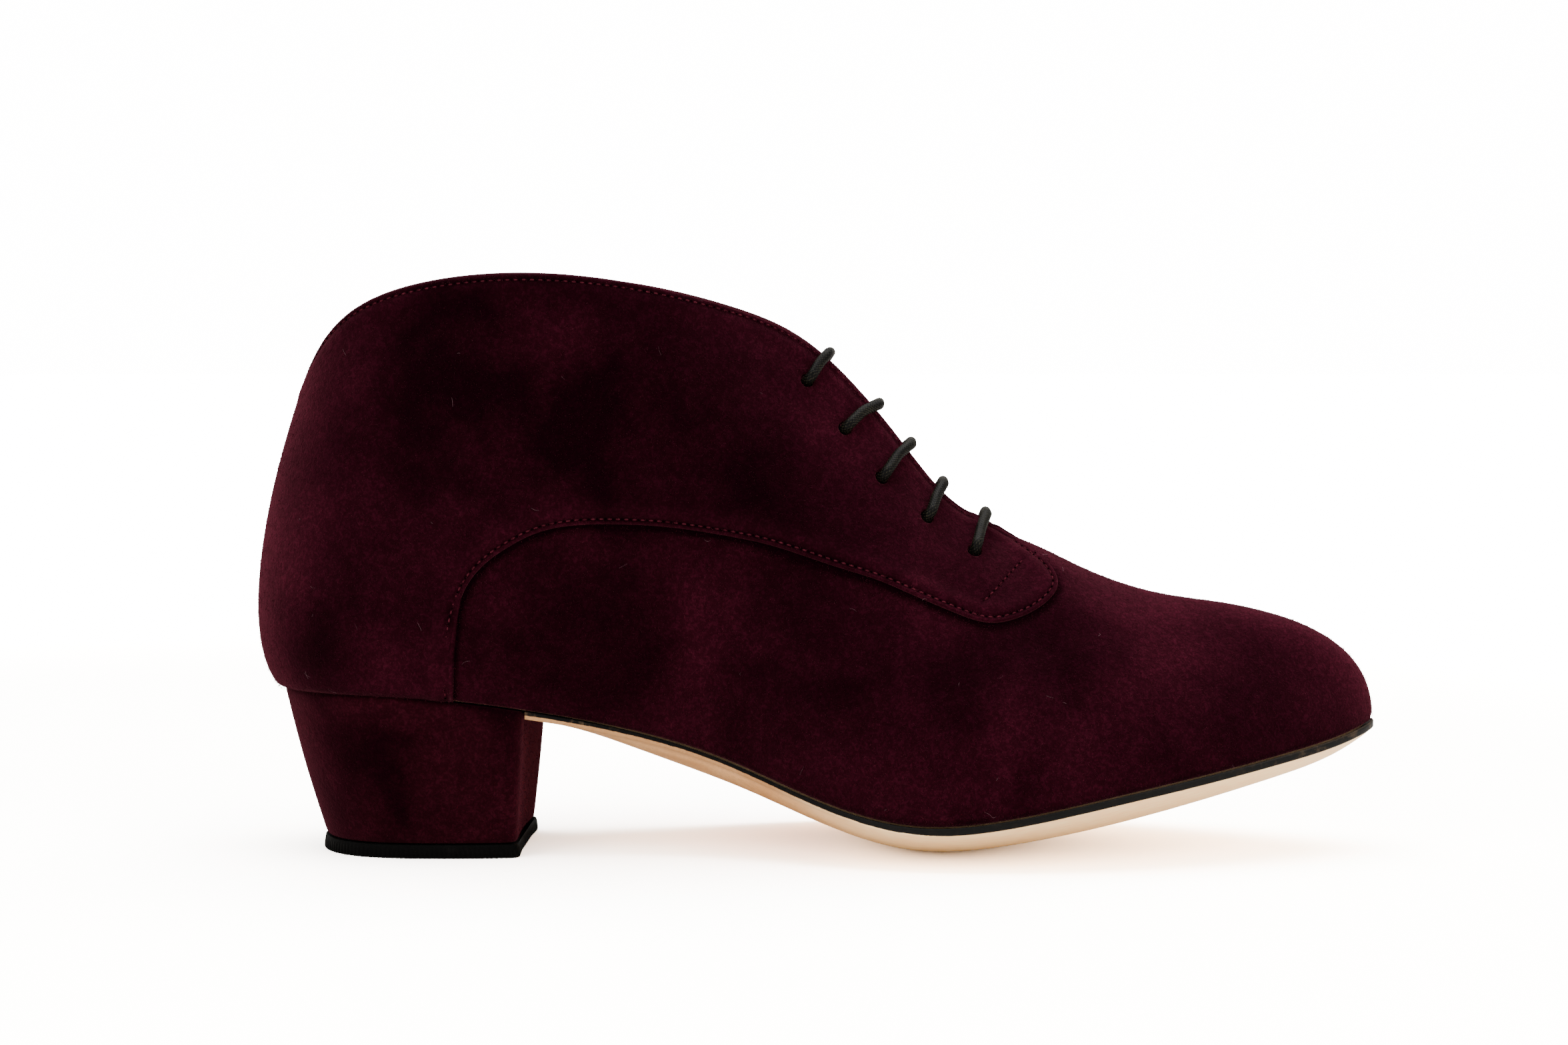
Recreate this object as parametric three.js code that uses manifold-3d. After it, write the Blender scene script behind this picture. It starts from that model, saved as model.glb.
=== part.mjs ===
// Laced dance practice shoe for the left foot, in suede, with a block heel.
// Millimetres. +X runs from heel to toe, +Z is up, the inner side of the foot is at -Y.
// The origin is the middle of the heel tip's face on the floor.
import * as THREE from 'three';
import { mergeVertices } from 'three/addons/utils/BufferGeometryUtils.js';
import Module from 'manifold-3d';

const wasm = await Module();
wasm.setup();

// The last: overall sizes
const LENGTH = 252;          // back of the heel seat to the toe, along the floor
const BALL_WIDTH = 76;       // widest part of the feather line
const SEAT_HEIGHT = 37;      // floor to the feather line at the back
const TOE_LIFT = 29.3;       // floor to the feather line at the toe
const UPPER_HEIGHT = 92.3;   // feather line to the top of the collar
const COLLAR_WIDTH = 53;     // across the mouth

// Walls and layers
const CLEARANCE = 0.3;       // between pieces that meet
const WALL = 1.8;            // vamp and lining together
const QUARTER_THICK = 0.9;   // suede laid over the vamp
const INSOLE_THICK = 2.5;
const TONGUE_THICK = 1.8;

// Sole
const SOLE_RIM = 1.6;        // height of the painted edge
const RIM_PROUD = 0.4;       // how far the edge stands out
const SOLE_CROWN = 7.5;      // depth of the rounded bottom below the edge, at the ball
const SOLE_THICK = 3.6;      // at the middle of the ball
const SOLE_ROUND = 2.2;      // how full the rounded bottom is: 2 is a parabola
const TREAD_FLAT = 0.5;      // what the flat spot takes off the rounded bottom

// Heel
const BREAST = 62.7;         // back of the last to the heel's front, at the top
const BREAST_RAKE = 1.9;     // how far the front leans back at the bottom
const BREAST_HOLLOW = 1;
const HEEL_LENGTH = 45;      // at the bottom
const HEEL_WIDTH = 39.8;     // at the bottom
const HEEL_BOW = 0.05;       // swell of the back edge, as a share of its lean
const TIP_THICK = 3;
const TIP_PROUD = 0.4;

// Lace, eyelets and tongue
const LACE = 2.4;
const LACE_PLAY = 0.6;       // between the lace and the suede
const EYELET = 4;            // diameter of the punched hole
const TONGUE_LAP = 12;       // how far the tongue reaches under each facing

// How finely the forms are cut
const ROW_STEPS = 3;
const RISE_STEPS = 8;
const BED_COLUMNS = 6;
const LACE_SIDES = 8;
const PIN_SIDES = 10;
const HEEL_LEVELS = 5;
const BREAST_STEPS = 4;
const TONGUE_STEPS = 12;
const TONGUE_COLUMNS = 4;

// Sections of the last, from the back of the heel to the toe.
// foot and top are places along LENGTH of the feather line and of the top edge or ridge.
// inner and outer are half widths, swing is the sideways shift and gap half the opening:
// shares of BALL_WIDTH, and of COLLAR_WIDTH for gap.
// innerLift and outerLift climb from the ball towards the seat, or towards the toe.
// topRise is the height above the feather line, a share of UPPER_HEIGHT.
// lowOut, lowUp, highOut and highDown place the two handles of the section's curve, and
// pitch is the slope of the ridge. crown is a share of SOLE_CROWN.
const COLUMNS = ['foot', 'inner', 'outer', 'innerLift', 'outerLift', 'top', 'topRise', 'gap',
  'swing', 'lowOut', 'lowUp', 'highOut', 'highDown', 'pitch', 'crown'];
const SECTIONS = [
  [0.025, 0.000, 0.000, 1.000, 1.000, 0.046, 0.724, 0.000, 0.000, 0.122, 0.098, 0.126, 0.280, 0.00, 0.00],
  [0.043, 0.188, 0.188, 1.000, 0.996, 0.067, 0.826, 0.225, 0.000, 0.107, 0.108, 0.086, 0.303, 0.00, 0.00],
  [0.091, 0.303, 0.303, 0.996, 0.950, 0.111, 0.942, 0.383, 0.000, 0.083, 0.119, 0.030, 0.347, 0.00, 0.00],
  [0.163, 0.333, 0.333, 0.964, 0.857, 0.183, 1.016, 0.472, 0.000, 0.070, 0.130, -0.01, 0.368, 0.00, 0.00],
  [0.246, 0.316, 0.329, 0.871, 0.689, 0.266, 1.067, 0.498, 0.000, 0.058, 0.152, 0.005, 0.368, 0.00, 0.00],
  [0.333, 0.271, 0.337, 0.714, 0.410, 0.349, 1.107, 0.453, 0.000, 0.061, 0.184, 0.053, 0.347, 0.00, 0.12],
  [0.421, 0.305, 0.384, 0.492, 0.148, 0.427, 1.125, 0.325, 0.000, 0.057, 0.217, 0.105, 0.282, -0.2, 0.32],
  [0.506, 0.412, 0.445, 0.206, 0.005, 0.498, 1.092, 0.166, -0.004, 0.047, 0.238, 0.125, 0.206, -0.6, 0.66],
  [0.591, 0.489, 0.493, 0.041, -0.027, 0.568, 0.917, 0.113, -0.011, 0.043, 0.249, 0.142, 0.163, -1.1, 1.00],
  [0.677, 0.500, 0.500, 0.151, 0.057, 0.625, 0.712, 0.094, -0.020, 0.039, 0.217, 0.178, 0.108, -0.8, 1.08],
  [0.760, 0.461, 0.454, 0.358, 0.284, 0.685, 0.586, 0.091, -0.030, 0.033, 0.173, 0.237, 0.000, -0.5, 1.10],
  [0.839, 0.375, 0.366, 0.546, 0.506, 0.742, 0.469, 0.085, -0.041, 0.026, 0.146, 0.237, 0.000, -0.45, 0.94],
  [0.911, 0.268, 0.254, 0.723, 0.704, 0.806, 0.369, 0.075, -0.050, 0.020, 0.130, 0.211, 0.000, -0.25, 0.71],
  [0.967, 0.152, 0.144, 0.877, 0.872, 0.869, 0.307, 0.038, -0.057, 0.013, 0.124, 0.198, 0.000, -0.17, 0.42],
  [1.000, 0.000, 0.000, 1.000, 1.000, 0.909, 0.255, 0.000, -0.059, 0.007, 0.122, 0.208, 0.000, -0.27, 0.06],
];
const BALL = 8;              // the section at the ball
const SEAT = 3;              // the section where the heel seat is widest
const TOE = SECTIONS.length - 1;
const RING = 2 * TOE;        // stations up the inner side to the toe and back down the outer
const THROAT = 9.8;          // section where the throat closes
const THROAT_ROUND = 0.7;    // length of its round end, in sections
const THROAT_ZONE = 0.85;    // rise above which that round end shapes the wall

// Front and lower edge of a quarter, from the heel seat to the throat, as section and rise.
const QUARTER_EDGE = [
  { section: 3.32, rise: -0.03 },
  { section: 3.27, rise: 0.14 },
  { section: 3.30, rise: 0.29 },
  { section: 3.44, rise: 0.386 },
  { section: 3.78, rise: 0.455 },
  { section: 4.29, rise: 0.502 },
  { section: 5.19, rise: 0.519 },
  { section: 6.33, rise: 0.514 },
  { section: 7.20, rise: 0.515 },
  { section: 7.95, rise: 0.544 },
  { section: 8.60, rise: 0.566 },
  { section: 9.23, rise: 0.569 },
  { section: 9.77, rise: 0.614 },
  { section: 10.11, rise: 0.70 },
  { section: 10.13, rise: 0.80 },
  { section: 9.80, rise: 0.92 },
  { section: 9.50, rise: 1.00 },
];
// Eyelets from the top down, as section and rise, and the section where the lace crosses the edge.
const EYELETS = [
  { section: 6.99, rise: 0.882, crossing: 7.14 },
  { section: 7.45, rise: 0.83, crossing: 7.76 },
  { section: 7.89, rise: 0.79, crossing: 8.2 },
  { section: 8.49, rise: 0.81, crossing: 8.72 },
  { section: 9.17, rise: 0.80, crossing: 9.42 },
];
// The tongue's first and last section. It lies low as far as sunk, and under the vamp from risen.
const TONGUE = { first: 6.2, sunk: 9.5, risen: 10.5, last: 10.9 };
// The lace's run under the inner facing is set below the eyelets by this many lace widths.
const RUN_ASIDE = 1.6;

// Values worked out from the sizes
const ORIGIN = BREAST - BREAST_RAKE - HEEL_LENGTH / 2;
const BALL_LIFT = CLEARANCE + SOLE_RIM + SOLE_CROWN - TREAD_FLAT;
const TONGUE_DEPTH = WALL + LACE_PLAY + LACE + LACE_PLAY;
const row = (name) => SECTIONS.map((values) => values[COLUMNS.indexOf(name)]);
const lift = (share, section) => {
  const end = section > BALL ? TOE_LIFT : SEAT_HEIGHT;
  return BALL_LIFT + share * (end - BALL_LIFT);
};
const mix = (a, b, t) => a + (b - a) * t;
const fold = (station) => (station > TOE ? RING - station : station);

// A smooth closed curve through one value for each station of the ring: a periodic cubic spline.
function ring(inner, outer = inner) {
  const values = [...inner, ...outer.slice(1, -1).reverse()];
  const bend = values.map(() => 0);
  const next = (i) => (i + 1) % RING;
  const last = (i) => (i + RING - 1) % RING;
  for (let sweep = 0; sweep < 60; sweep++) {
    for (let i = 0; i < RING; i++) {
      const pull = values[next(i)] - 2 * values[i] + values[last(i)];
      bend[i] = (6 * pull - bend[next(i)] - bend[last(i)]) / 4;
    }
  }
  const locate = (station) => {
    const turned = ((station % RING) + RING) % RING;
    const from = Math.floor(turned);
    return { from, to: next(from), b: turned - from, a: 1 - turned + from };
  };
  return {
    at(station) {
      const { from, to, a, b } = locate(station);
      return a * values[from] + b * values[to]
        + ((a ** 3 - a) * bend[from] + (b ** 3 - b) * bend[to]) / 6;
    },
    slope(station) {
      const { from, to, a, b } = locate(station);
      return values[to] - values[from]
        + ((1 - 3 * a * a) * bend[from] + (3 * b * b - 1) * bend[to]) / 6;
    },
  };
}

const scaled = (name, size) => row(name).map((share) => share * size);
const innerLift = row('innerLift').map(lift);
const outerLift = row('outerLift').map(lift);
const middleLift = innerLift.map((z, section) => (z + outerLift[section]) / 2);
const swing = scaled('swing', BALL_WIDTH);
const footX = ring(scaled('foot', LENGTH).map((x) => x - ORIGIN));
const footY = ring(
  scaled('inner', BALL_WIDTH).map((half, section) => swing[section] - half),
  scaled('outer', BALL_WIDTH).map((half, section) => swing[section] + half),
);
const footZ = ring(innerLift, outerLift);
const topX = ring(scaled('top', LENGTH).map((x) => x - ORIGIN));
const topY = ring(swing);
const topZ = ring(scaled('topRise', UPPER_HEIGHT).map((rise, section) => rise + middleLift[section]));
const gapHalf = ring(
  scaled('gap', COLLAR_WIDTH).map((half) => -half),
  scaled('gap', COLLAR_WIDTH),
);
const lowOut = ring(scaled('lowOut', BALL_WIDTH));
const lowUp = ring(scaled('lowUp', UPPER_HEIGHT));
const highOut = ring(scaled('highOut', BALL_WIDTH));
const highDown = ring(scaled('highDown', UPPER_HEIGHT));
const pitch = ring(row('pitch'));
const crown = ring(scaled('crown', SOLE_CROWN));

// The feather line, where the upper meets the sole.
const foot = (station) => new THREE.Vector3(footX.at(station), footY.at(station), footZ.at(station));

function outward(station) {
  return new THREE.Vector3(footY.slope(station), -footX.slope(station), 0).normalize();
}

// Share of the throat's width that is open: 1 along the facings, 0 from the throat's end on.
// The cut edge ends in a round, and lower down the walls draw together without a crease.
function openness(station, rise) {
  const behind = THREE.MathUtils.clamp((THROAT - fold(station)) / THROAT_ROUND, 0, 1);
  const round = Math.sqrt(behind * (2 - behind));
  const soft = THREE.MathUtils.smoothstep(behind, 0, 1);
  return mix(soft, round, THREE.MathUtils.smoothstep(rise, THROAT_ZONE, 1));
}

// The top edge of the collar and throat, and in front of them the ridge of the vamp.
function top(station, rise) {
  const folded = fold(station);
  const open = gapHalf.at(station) * openness(station, rise);
  return new THREE.Vector3(topX.at(folded), topY.at(folded) + open, topZ.at(folded));
}

// A point of the last: each station's section is a cubic curve from feather line to top.
function last(station, rise) {
  const low = foot(station);
  const high = top(station, rise);
  const out = outward(station);
  const lowHandle = low.clone().addScaledVector(out, lowOut.at(station));
  lowHandle.z += lowUp.at(station);
  const reach = highOut.at(station);
  const highHandle = high.clone().addScaledVector(out, reach);
  highHandle.z += out.x * reach * pitch.at(station) - highDown.at(station);
  const rest = 1 - rise;
  return low.multiplyScalar(rest ** 3)
    .addScaledVector(lowHandle, 3 * rise * rest * rest)
    .addScaledVector(highHandle, 3 * rise * rise * rest)
    .addScaledVector(high, rise ** 3);
}

function sideNormal(station, rise) {
  const step = 0.001;
  const inside = THREE.MathUtils.clamp(rise, 0.02, 0.97);
  const along = last(station + step, inside).sub(last(station - step, inside));
  const up = last(station, inside + step).sub(last(station, inside - step));
  return along.cross(up).normalize();
}

// A point of the upper that lies a distance outside the last. Both sides share the ridge.
function skin(station, rise, distance) {
  const normal = sideNormal(station, rise);
  if (rise === 1 && fold(station) >= THROAT) {
    normal.add(sideNormal(RING - station, rise)).normalize();
  }
  return last(station, rise).addScaledVector(normal, distance);
}

// The section whose feather line lies at x, found by halving.
function sectionAt(x) {
  let low = 0;
  let high = TOE;
  for (let halving = 0; halving < 40; halving++) {
    const middle = (low + high) / 2;
    if (footX.at(middle) < x) {
      low = middle;
    } else {
      high = middle;
    }
  }
  return low;
}

// The bed under the foot: the feather lines joined across, sunk along the middle.
function bed(x, y) {
  const section = sectionAt(x);
  const inner = foot(section);
  const outer = foot(RING - section);
  const width = Math.max(outer.y - inner.y, CLEARANCE);
  const across = THREE.MathUtils.clamp((y - inner.y) / width, 0, 1);
  const sink = Math.max(crown.at(section), 0) * (1 - (SOLE_THICK - SOLE_RIM) / SOLE_CROWN);
  return mix(inner.z, outer.z, across) - sink * 4 * across * (1 - across);
}

const BED_SHARES = Array.from({ length: BED_COLUMNS + 1 }, (_, i) => i / BED_COLUMNS);

// A geometry from corner points and triangles, with doubled points and empty faces taken out.
function closedGeometry(points, triangles) {
  const raw = new THREE.BufferGeometry();
  raw.setAttribute('position', new THREE.Float32BufferAttribute(points.flatMap((p) => p.toArray()), 3));
  raw.setIndex(triangles.flat());
  const merged = mergeVertices(raw, 0.001);
  const index = merged.getIndex().array;
  const kept = [];
  for (let i = 0; i < index.length; i += 3) {
    const [a, b, c] = [index[i], index[i + 1], index[i + 2]];
    if (a !== b && b !== c && c !== a) {
      kept.push(a, b, c);
    }
  }
  merged.setIndex(kept);
  return merged;
}

function solidOf(geometry) {
  const bare = geometry.clone();
  bare.deleteAttribute('normal');
  bare.deleteAttribute('uv');
  const merged = mergeVertices(bare, 0.001);
  return new wasm.Manifold(new wasm.Mesh({
    numProp: 3,
    vertProperties: new Float32Array(merged.getAttribute('position').array),
    triVerts: new Uint32Array(merged.getIndex().array),
  }));
}

function geometryOf(solid) {
  const mesh = solid.getMesh();
  const geometry = new THREE.BufferGeometry();
  geometry.setAttribute('position', new THREE.Float32BufferAttribute(mesh.vertProperties, 3));
  geometry.setIndex([...mesh.triVerts]);
  return geometry;
}

// A closed solid from a row of closed loops that all have the same even number of points.
// An end loop is closed by a ladder between its two halves, which meet at point 0.
function stacked(loops) {
  const size = loops[0].length;
  const triangles = [];
  for (let level = 0; level < loops.length - 1; level++) {
    for (let i = 0; i < size; i++) {
      const a = level * size + i;
      const b = level * size + (i + 1) % size;
      triangles.push([a, b, b + size], [a, b + size, a + size]);
    }
  }
  const end = (loops.length - 1) * size;
  for (let i = 0; i < size / 2; i++) {
    const j = (size - i) % size;
    const k = size - i - 1;
    triangles.push([i, j, k], [i, k, i + 1]);
    triangles.push([end + i, end + k, end + j], [end + i, end + i + 1, end + k]);
  }
  return closedGeometry(loops.flat(), triangles);
}

// Sections for the grid, closer together around the throat's round end.
function gridSections() {
  const even = Array.from({ length: TOE * ROW_STEPS + 1 }, (_, i) => i / ROW_STEPS);
  const turns = [90, 63, 40, 20, 0].map((degrees) => THREE.MathUtils.degToRad(degrees));
  const round = turns.map((turn) => THROAT - THROAT_ROUND * (1 - Math.cos(turn)));
  const clear = 0.5 / ROW_STEPS;
  const away = even.filter((section) => section < round[0] - clear || section > THROAT + clear / 2);
  return [...away, ...round].sort((a, b) => a - b);
}

// The same sections on both sides, up the inner side and back down the outer.
function gridStations() {
  const half = gridSections();
  return [...half, ...half.slice(1, -1).reverse().map((section) => RING - section)];
}

// Sections under the heel seat, up to the heel's front.
function seatSections() {
  const front = sectionAt(BREAST - ORIGIN);
  return [...gridSections().filter((section) => section < front), front];
}

// Sections of the sole, from just in front of the heel to the toe.
function soleSections() {
  const start = sectionAt(BREAST + CLEARANCE - ORIGIN);
  return [start, ...gridSections().filter((section) => section > start)];
}

// A wall around the last, from one distance to another, open underneath and at the throat.
function shell(from, to) {
  const stations = gridStations();
  const count = stations.length;
  const levels = RISE_STEPS + 1;
  const points = [];
  for (const distance of [to, from]) {
    for (const station of stations) {
      for (let j = 0; j < levels; j++) {
        points.push(skin(station, j / RISE_STEPS, distance));
      }
    }
  }
  const outer = (i, j) => (i % count) * levels + j;
  const inner = (i, j) => outer(i, j) + count * levels;
  const triangles = [];
  for (let i = 0; i < count; i++) {
    for (let j = 0; j < RISE_STEPS; j++) {
      triangles.push([outer(i, j), outer(i + 1, j), outer(i + 1, j + 1)]);
      triangles.push([outer(i, j), outer(i + 1, j + 1), outer(i, j + 1)]);
      triangles.push([inner(i, j), inner(i + 1, j + 1), inner(i + 1, j)]);
      triangles.push([inner(i, j), inner(i, j + 1), inner(i + 1, j + 1)]);
    }
    triangles.push([inner(i, 0), inner(i + 1, 0), outer(i + 1, 0)]);
    triangles.push([inner(i, 0), outer(i + 1, 0), outer(i, 0)]);
    const behind = Math.min(fold(stations[i]), fold(stations[(i + 1) % count]));
    if (behind < THROAT) {
      triangles.push([outer(i, RISE_STEPS), outer(i + 1, RISE_STEPS), inner(i + 1, RISE_STEPS)]);
      triangles.push([outer(i, RISE_STEPS), inner(i + 1, RISE_STEPS), inner(i, RISE_STEPS)]);
    }
  }
  return closedGeometry(points, triangles);
}

const eyeletStation = (eyelet, side) => (side < 0 ? eyelet.section : RING - eyelet.section);

// Ten pins along the eyelets' axes, to punch the holes.
function eyeletPins() {
  let pins = null;
  const reach = 3 * (WALL + QUARTER_THICK);
  for (const eyelet of EYELETS) {
    for (const side of [-1, 1]) {
      const station = eyeletStation(eyelet, side);
      const pin = new THREE.CylinderGeometry(EYELET / 2, EYELET / 2, 2 * reach, PIN_SIDES);
      const turn = new THREE.Quaternion().setFromUnitVectors(
        new THREE.Vector3(0, 1, 0), sideNormal(station, eyelet.rise));
      const centre = last(station, eyelet.rise);
      pin.applyQuaternion(turn).translate(centre.x, centre.y, centre.z);
      const solid = solidOf(pin);
      pins = pins ? pins.add(solid) : solid;
    }
  }
  return pins;
}

// The space that one quarter takes, seen from the side, run out sideways from the middle.
function quarterSpace(side) {
  const edge = QUARTER_EDGE.map(({ section, rise }) => {
    const point = skin(side < 0 ? section : RING - section, rise, QUARTER_THICK);
    return new THREE.Vector2(point.x, point.z);
  });
  const margin = BALL_WIDTH;
  const start = edge[0];
  const end = edge[edge.length - 1];
  const outline = new THREE.Shape(new THREE.SplineCurve(edge).getPoints(3 * edge.length));
  outline.lineTo(end.x, end.y + margin);
  outline.lineTo(start.x - margin, end.y + margin);
  outline.lineTo(start.x - margin, start.y - margin);
  outline.lineTo(start.x, start.y - margin);
  const block = new THREE.ExtrudeGeometry(outline, { depth: margin, bevelEnabled: false });
  block.rotateX(Math.PI / 2);
  block.translate(0, side < 0 ? 0 : margin, 0);
  return solidOf(block);
}

function upper(pins) {
  return geometryOf(solidOf(shell(-WALL, 0)).subtract(pins));
}

function quarters(pins) {
  const layer = solidOf(shell(CLEARANCE, CLEARANCE + QUARTER_THICK));
  const space = quarterSpace(-1).add(quarterSpace(1));
  return geometryOf(layer.intersect(space).subtract(pins));
}

function outsole() {
  const loops = soleSections().map((station) => {
    const inner = foot(station);
    const outer = foot(RING - station);
    const innerEdge = inner.clone().addScaledVector(outward(station), RIM_PROUD);
    const outerEdge = outer.clone().addScaledVector(outward(RING - station), RIM_PROUD);
    const depth = Math.max(crown.at(station), 0);
    const under = (across) => {
      const point = inner.clone().lerp(outer, across);
      const round = 1 - Math.abs(2 * across - 1) ** SOLE_ROUND;
      point.z -= CLEARANCE + SOLE_RIM + depth * round;
      return point;
    };
    const over = (across) => {
      const point = inner.clone().lerp(outer, across);
      point.z = bed(point.x, point.y) - CLEARANCE;
      return point;
    };
    const lowered = (edge, drop) => new THREE.Vector3(edge.x, edge.y, edge.z - drop);
    return [
      lowered(innerEdge, CLEARANCE + SOLE_RIM / 2),
      lowered(innerEdge, CLEARANCE + SOLE_RIM),
      ...BED_SHARES.map(under),
      lowered(outerEdge, CLEARANCE + SOLE_RIM),
      lowered(outerEdge, CLEARANCE + SOLE_RIM / 2),
      lowered(outerEdge, CLEARANCE),
      ...BED_SHARES.map(over).reverse(),
      lowered(innerEdge, CLEARANCE),
    ];
  });
  const floor = new THREE.BoxGeometry(2 * LENGTH, 2 * BALL_WIDTH, SOLE_CROWN);
  floor.translate(0, 0, -SOLE_CROWN / 2);
  return geometryOf(solidOf(stacked(loops)).subtract(solidOf(floor)));
}

function insole() {
  const inset = WALL + 2 * CLEARANCE;
  const loops = [...seatSections(), ...soleSections()].map((station) => {
    const inner = foot(station).addScaledVector(outward(station), -inset);
    const outer = foot(RING - station).addScaledVector(outward(RING - station), -inset);
    const layer = (height) => BED_SHARES.map((across) => {
      const point = inner.clone().lerp(outer, across);
      point.z = bed(point.x, point.y) + height;
      return point;
    });
    const middle = (edge) => {
      const point = edge.clone();
      point.z = bed(point.x, point.y) + INSOLE_THICK / 2;
      return point;
    };
    return [middle(inner), ...layer(0), middle(outer), ...layer(INSOLE_THICK).reverse()];
  });
  return stacked(loops);
}

// The heel's outline at a level, from the bottom (0) to the seat (1): the back follows the
// feather line, the front is slightly hollow.
function heelLoop(level, height, grow = 0) {
  const breast = BREAST - ORIGIN;
  const backTop = foot(0).x;
  const shareX = HEEL_LENGTH / (breast - backTop);
  const halfTop = (foot(RING - SEAT).y - foot(SEAT).y) / 2;
  const shareY = HEEL_WIDTH / 2 / halfTop;
  const swell = level + HEEL_BOW * Math.sin(Math.PI * level);
  const around = [];
  const place = (point) => {
    const bottomX = HEEL_LENGTH / 2 + (point.x - breast) * shareX;
    const bottomY = point.y * shareY;
    const x = mix(bottomX, point.x, swell);
    const y = mix(bottomY, point.y, swell);
    const z = height(point);
    return new THREE.Vector3(x * (1 + (2 * grow) / HEEL_LENGTH), y * (1 + (2 * grow) / HEEL_WIDTH), z);
  };
  const sections = seatSections();
  const front = sections[sections.length - 1];
  for (const section of sections) {
    around.push(place(foot(section)));
  }
  const inner = foot(front);
  const outer = foot(RING - front);
  for (let i = 1; i < BREAST_STEPS; i++) {
    const point = inner.clone().lerp(outer, i / BREAST_STEPS);
    point.x -= BREAST_HOLLOW * Math.sin((Math.PI * i) / BREAST_STEPS);
    around.push(place(point));
  }
  for (const section of sections.slice(1).reverse()) {
    around.push(place(foot(RING - section)));
  }
  return around;
}

function heel() {
  const base = TIP_THICK + CLEARANCE;
  const loops = Array.from({ length: HEEL_LEVELS + 1 }, (_, i) => {
    const level = i / HEEL_LEVELS;
    return heelLoop(level, (point) => mix(base, point.z - CLEARANCE, level));
  });
  return stacked(loops);
}

function heelTip() {
  return stacked([heelLoop(0, () => 0, TIP_PROUD), heelLoop(0, () => TIP_THICK, TIP_PROUD)]);
}

// The tongue lies under the facings and ends against the underside of the vamp.
function tongue() {
  const lap = (station) => {
    const reach = Math.hypot(highOut.at(station), highDown.at(station));
    return 1 - TONGUE_LAP / (3 * reach);
  };
  const loops = Array.from({ length: TONGUE_STEPS + 1 }, (_, i) => {
    const station = mix(TONGUE.first, TONGUE.last, i / TONGUE_STEPS);
    const rising = THREE.MathUtils.smoothstep(station, TONGUE.sunk, TONGUE.risen);
    const depth = mix(TONGUE_DEPTH, WALL + CLEARANCE, rising);
    const layer = (under) => {
      const points = [];
      for (let j = 0; j <= TONGUE_COLUMNS; j++) {
        points.push(skin(station, mix(lap(station), 1, j / TONGUE_COLUMNS), -depth - under));
      }
      for (let j = TONGUE_COLUMNS; j >= 0; j--) {
        points.push(skin(RING - station, mix(lap(station), 1, j / TONGUE_COLUMNS), -depth - under));
      }
      return points;
    };
    return [...layer(TONGUE_THICK), ...layer(0).reverse()];
  });
  return stacked(loops);
}

// A round tube along a chain of points, with its ends closed.
function tube(points, radius) {
  const loops = [];
  const forward = (i) => {
    const before = points[Math.max(i - 1, 0)];
    const after = points[Math.min(i + 1, points.length - 1)];
    const here = points[i];
    const a = here.clone().sub(before).normalize();
    const b = after.clone().sub(here).normalize();
    return a.add(b).normalize();
  };
  let side = new THREE.Vector3(1, 0, 0);
  for (let i = 0; i < points.length; i++) {
    const along = forward(i);
    side = side.addScaledVector(along, -side.dot(along)).normalize();
    const other = along.clone().cross(side);
    const loop = [];
    for (let j = 0; j < LACE_SIDES; j++) {
      const turn = (2 * Math.PI * j) / LACE_SIDES;
      loop.push(points[i].clone()
        .addScaledVector(side, radius * Math.cos(turn))
        .addScaledVector(other, radius * Math.sin(turn)));
    }
    loops.push(loop);
  }
  return stacked(loops);
}

// One lace: a run under the inner facing, then a bar across at each pair of eyelets.
function lace() {
  const over = CLEARANCE + QUARTER_THICK + LACE_PLAY + LACE / 2;
  const under = -(WALL + LACE_PLAY + LACE / 2);
  const aside = RUN_ASIDE * (LACE + LACE_PLAY) / UPPER_HEIGHT;
  const points = [];
  EYELETS.forEach((eyelet, order) => {
    const below = EYELETS[order + 1];
    points.push(skin(eyelet.section, eyelet.rise - aside, under));
    if (below) {
      const half = mix(eyelet.section, below.section, 0.5);
      points.push(skin(half, mix(eyelet.rise, below.rise, 0.5) - aside, under));
    }
  });
  const upwards = [...EYELETS].reverse();
  const station = (section, side) => (side < 0 ? section : RING - section);
  upwards.forEach((eyelet, order) => {
    const near = order % 2 === 0 ? -1 : 1;
    const bar = (side) => [
      skin(station(eyelet.section, side), eyelet.rise, under),
      skin(station(eyelet.section, side), eyelet.rise, over),
      skin(station(mix(eyelet.section, eyelet.crossing, 0.5), side), mix(eyelet.rise, 1, 0.5), over),
      skin(station(eyelet.crossing, side), 1, over),
    ];
    points.push(...bar(near), ...bar(-near).reverse());
    const above = upwards[order + 1];
    if (above) {
      const half = mix(eyelet.section, above.section, 0.5);
      points.push(skin(station(half, -near), mix(eyelet.rise, above.rise, 0.5), under));
    }
  });
  return tube(points, LACE / 2);
}

const SUEDE = { color: 0x3a0c1e, roughness: 0.95, metalness: 0 };
const LINING = { color: 0xb89a78, roughness: 0.8, metalness: 0 };
const SOLE_LEATHER = { color: 0xd8b088, roughness: 0.7, metalness: 0 };
const TIP_RUBBER = { color: 0x101010, roughness: 0.6, metalness: 0 };
const LACE_CORD = { color: 0x2c2a24, roughness: 0.6, metalness: 0 };

const shoe = new THREE.Group();
function add(name, geometry, finish) {
  geometry.computeVertexNormals();
  const mesh = new THREE.Mesh(geometry, new THREE.MeshStandardMaterial(finish));
  mesh.name = name;
  shoe.add(mesh);
}

const pins = eyeletPins();
add('upper', upper(pins), SUEDE);
add('quarters', quarters(pins), SUEDE);
add('tongue', tongue(), SUEDE);
add('lace', lace(), LACE_CORD);
add('insole', insole(), LINING);
add('outsole', outsole(), SOLE_LEATHER);
add('heel', heel(), SUEDE);
add('heel_tip', heelTip(), TIP_RUBBER);

export default shoe;
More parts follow.
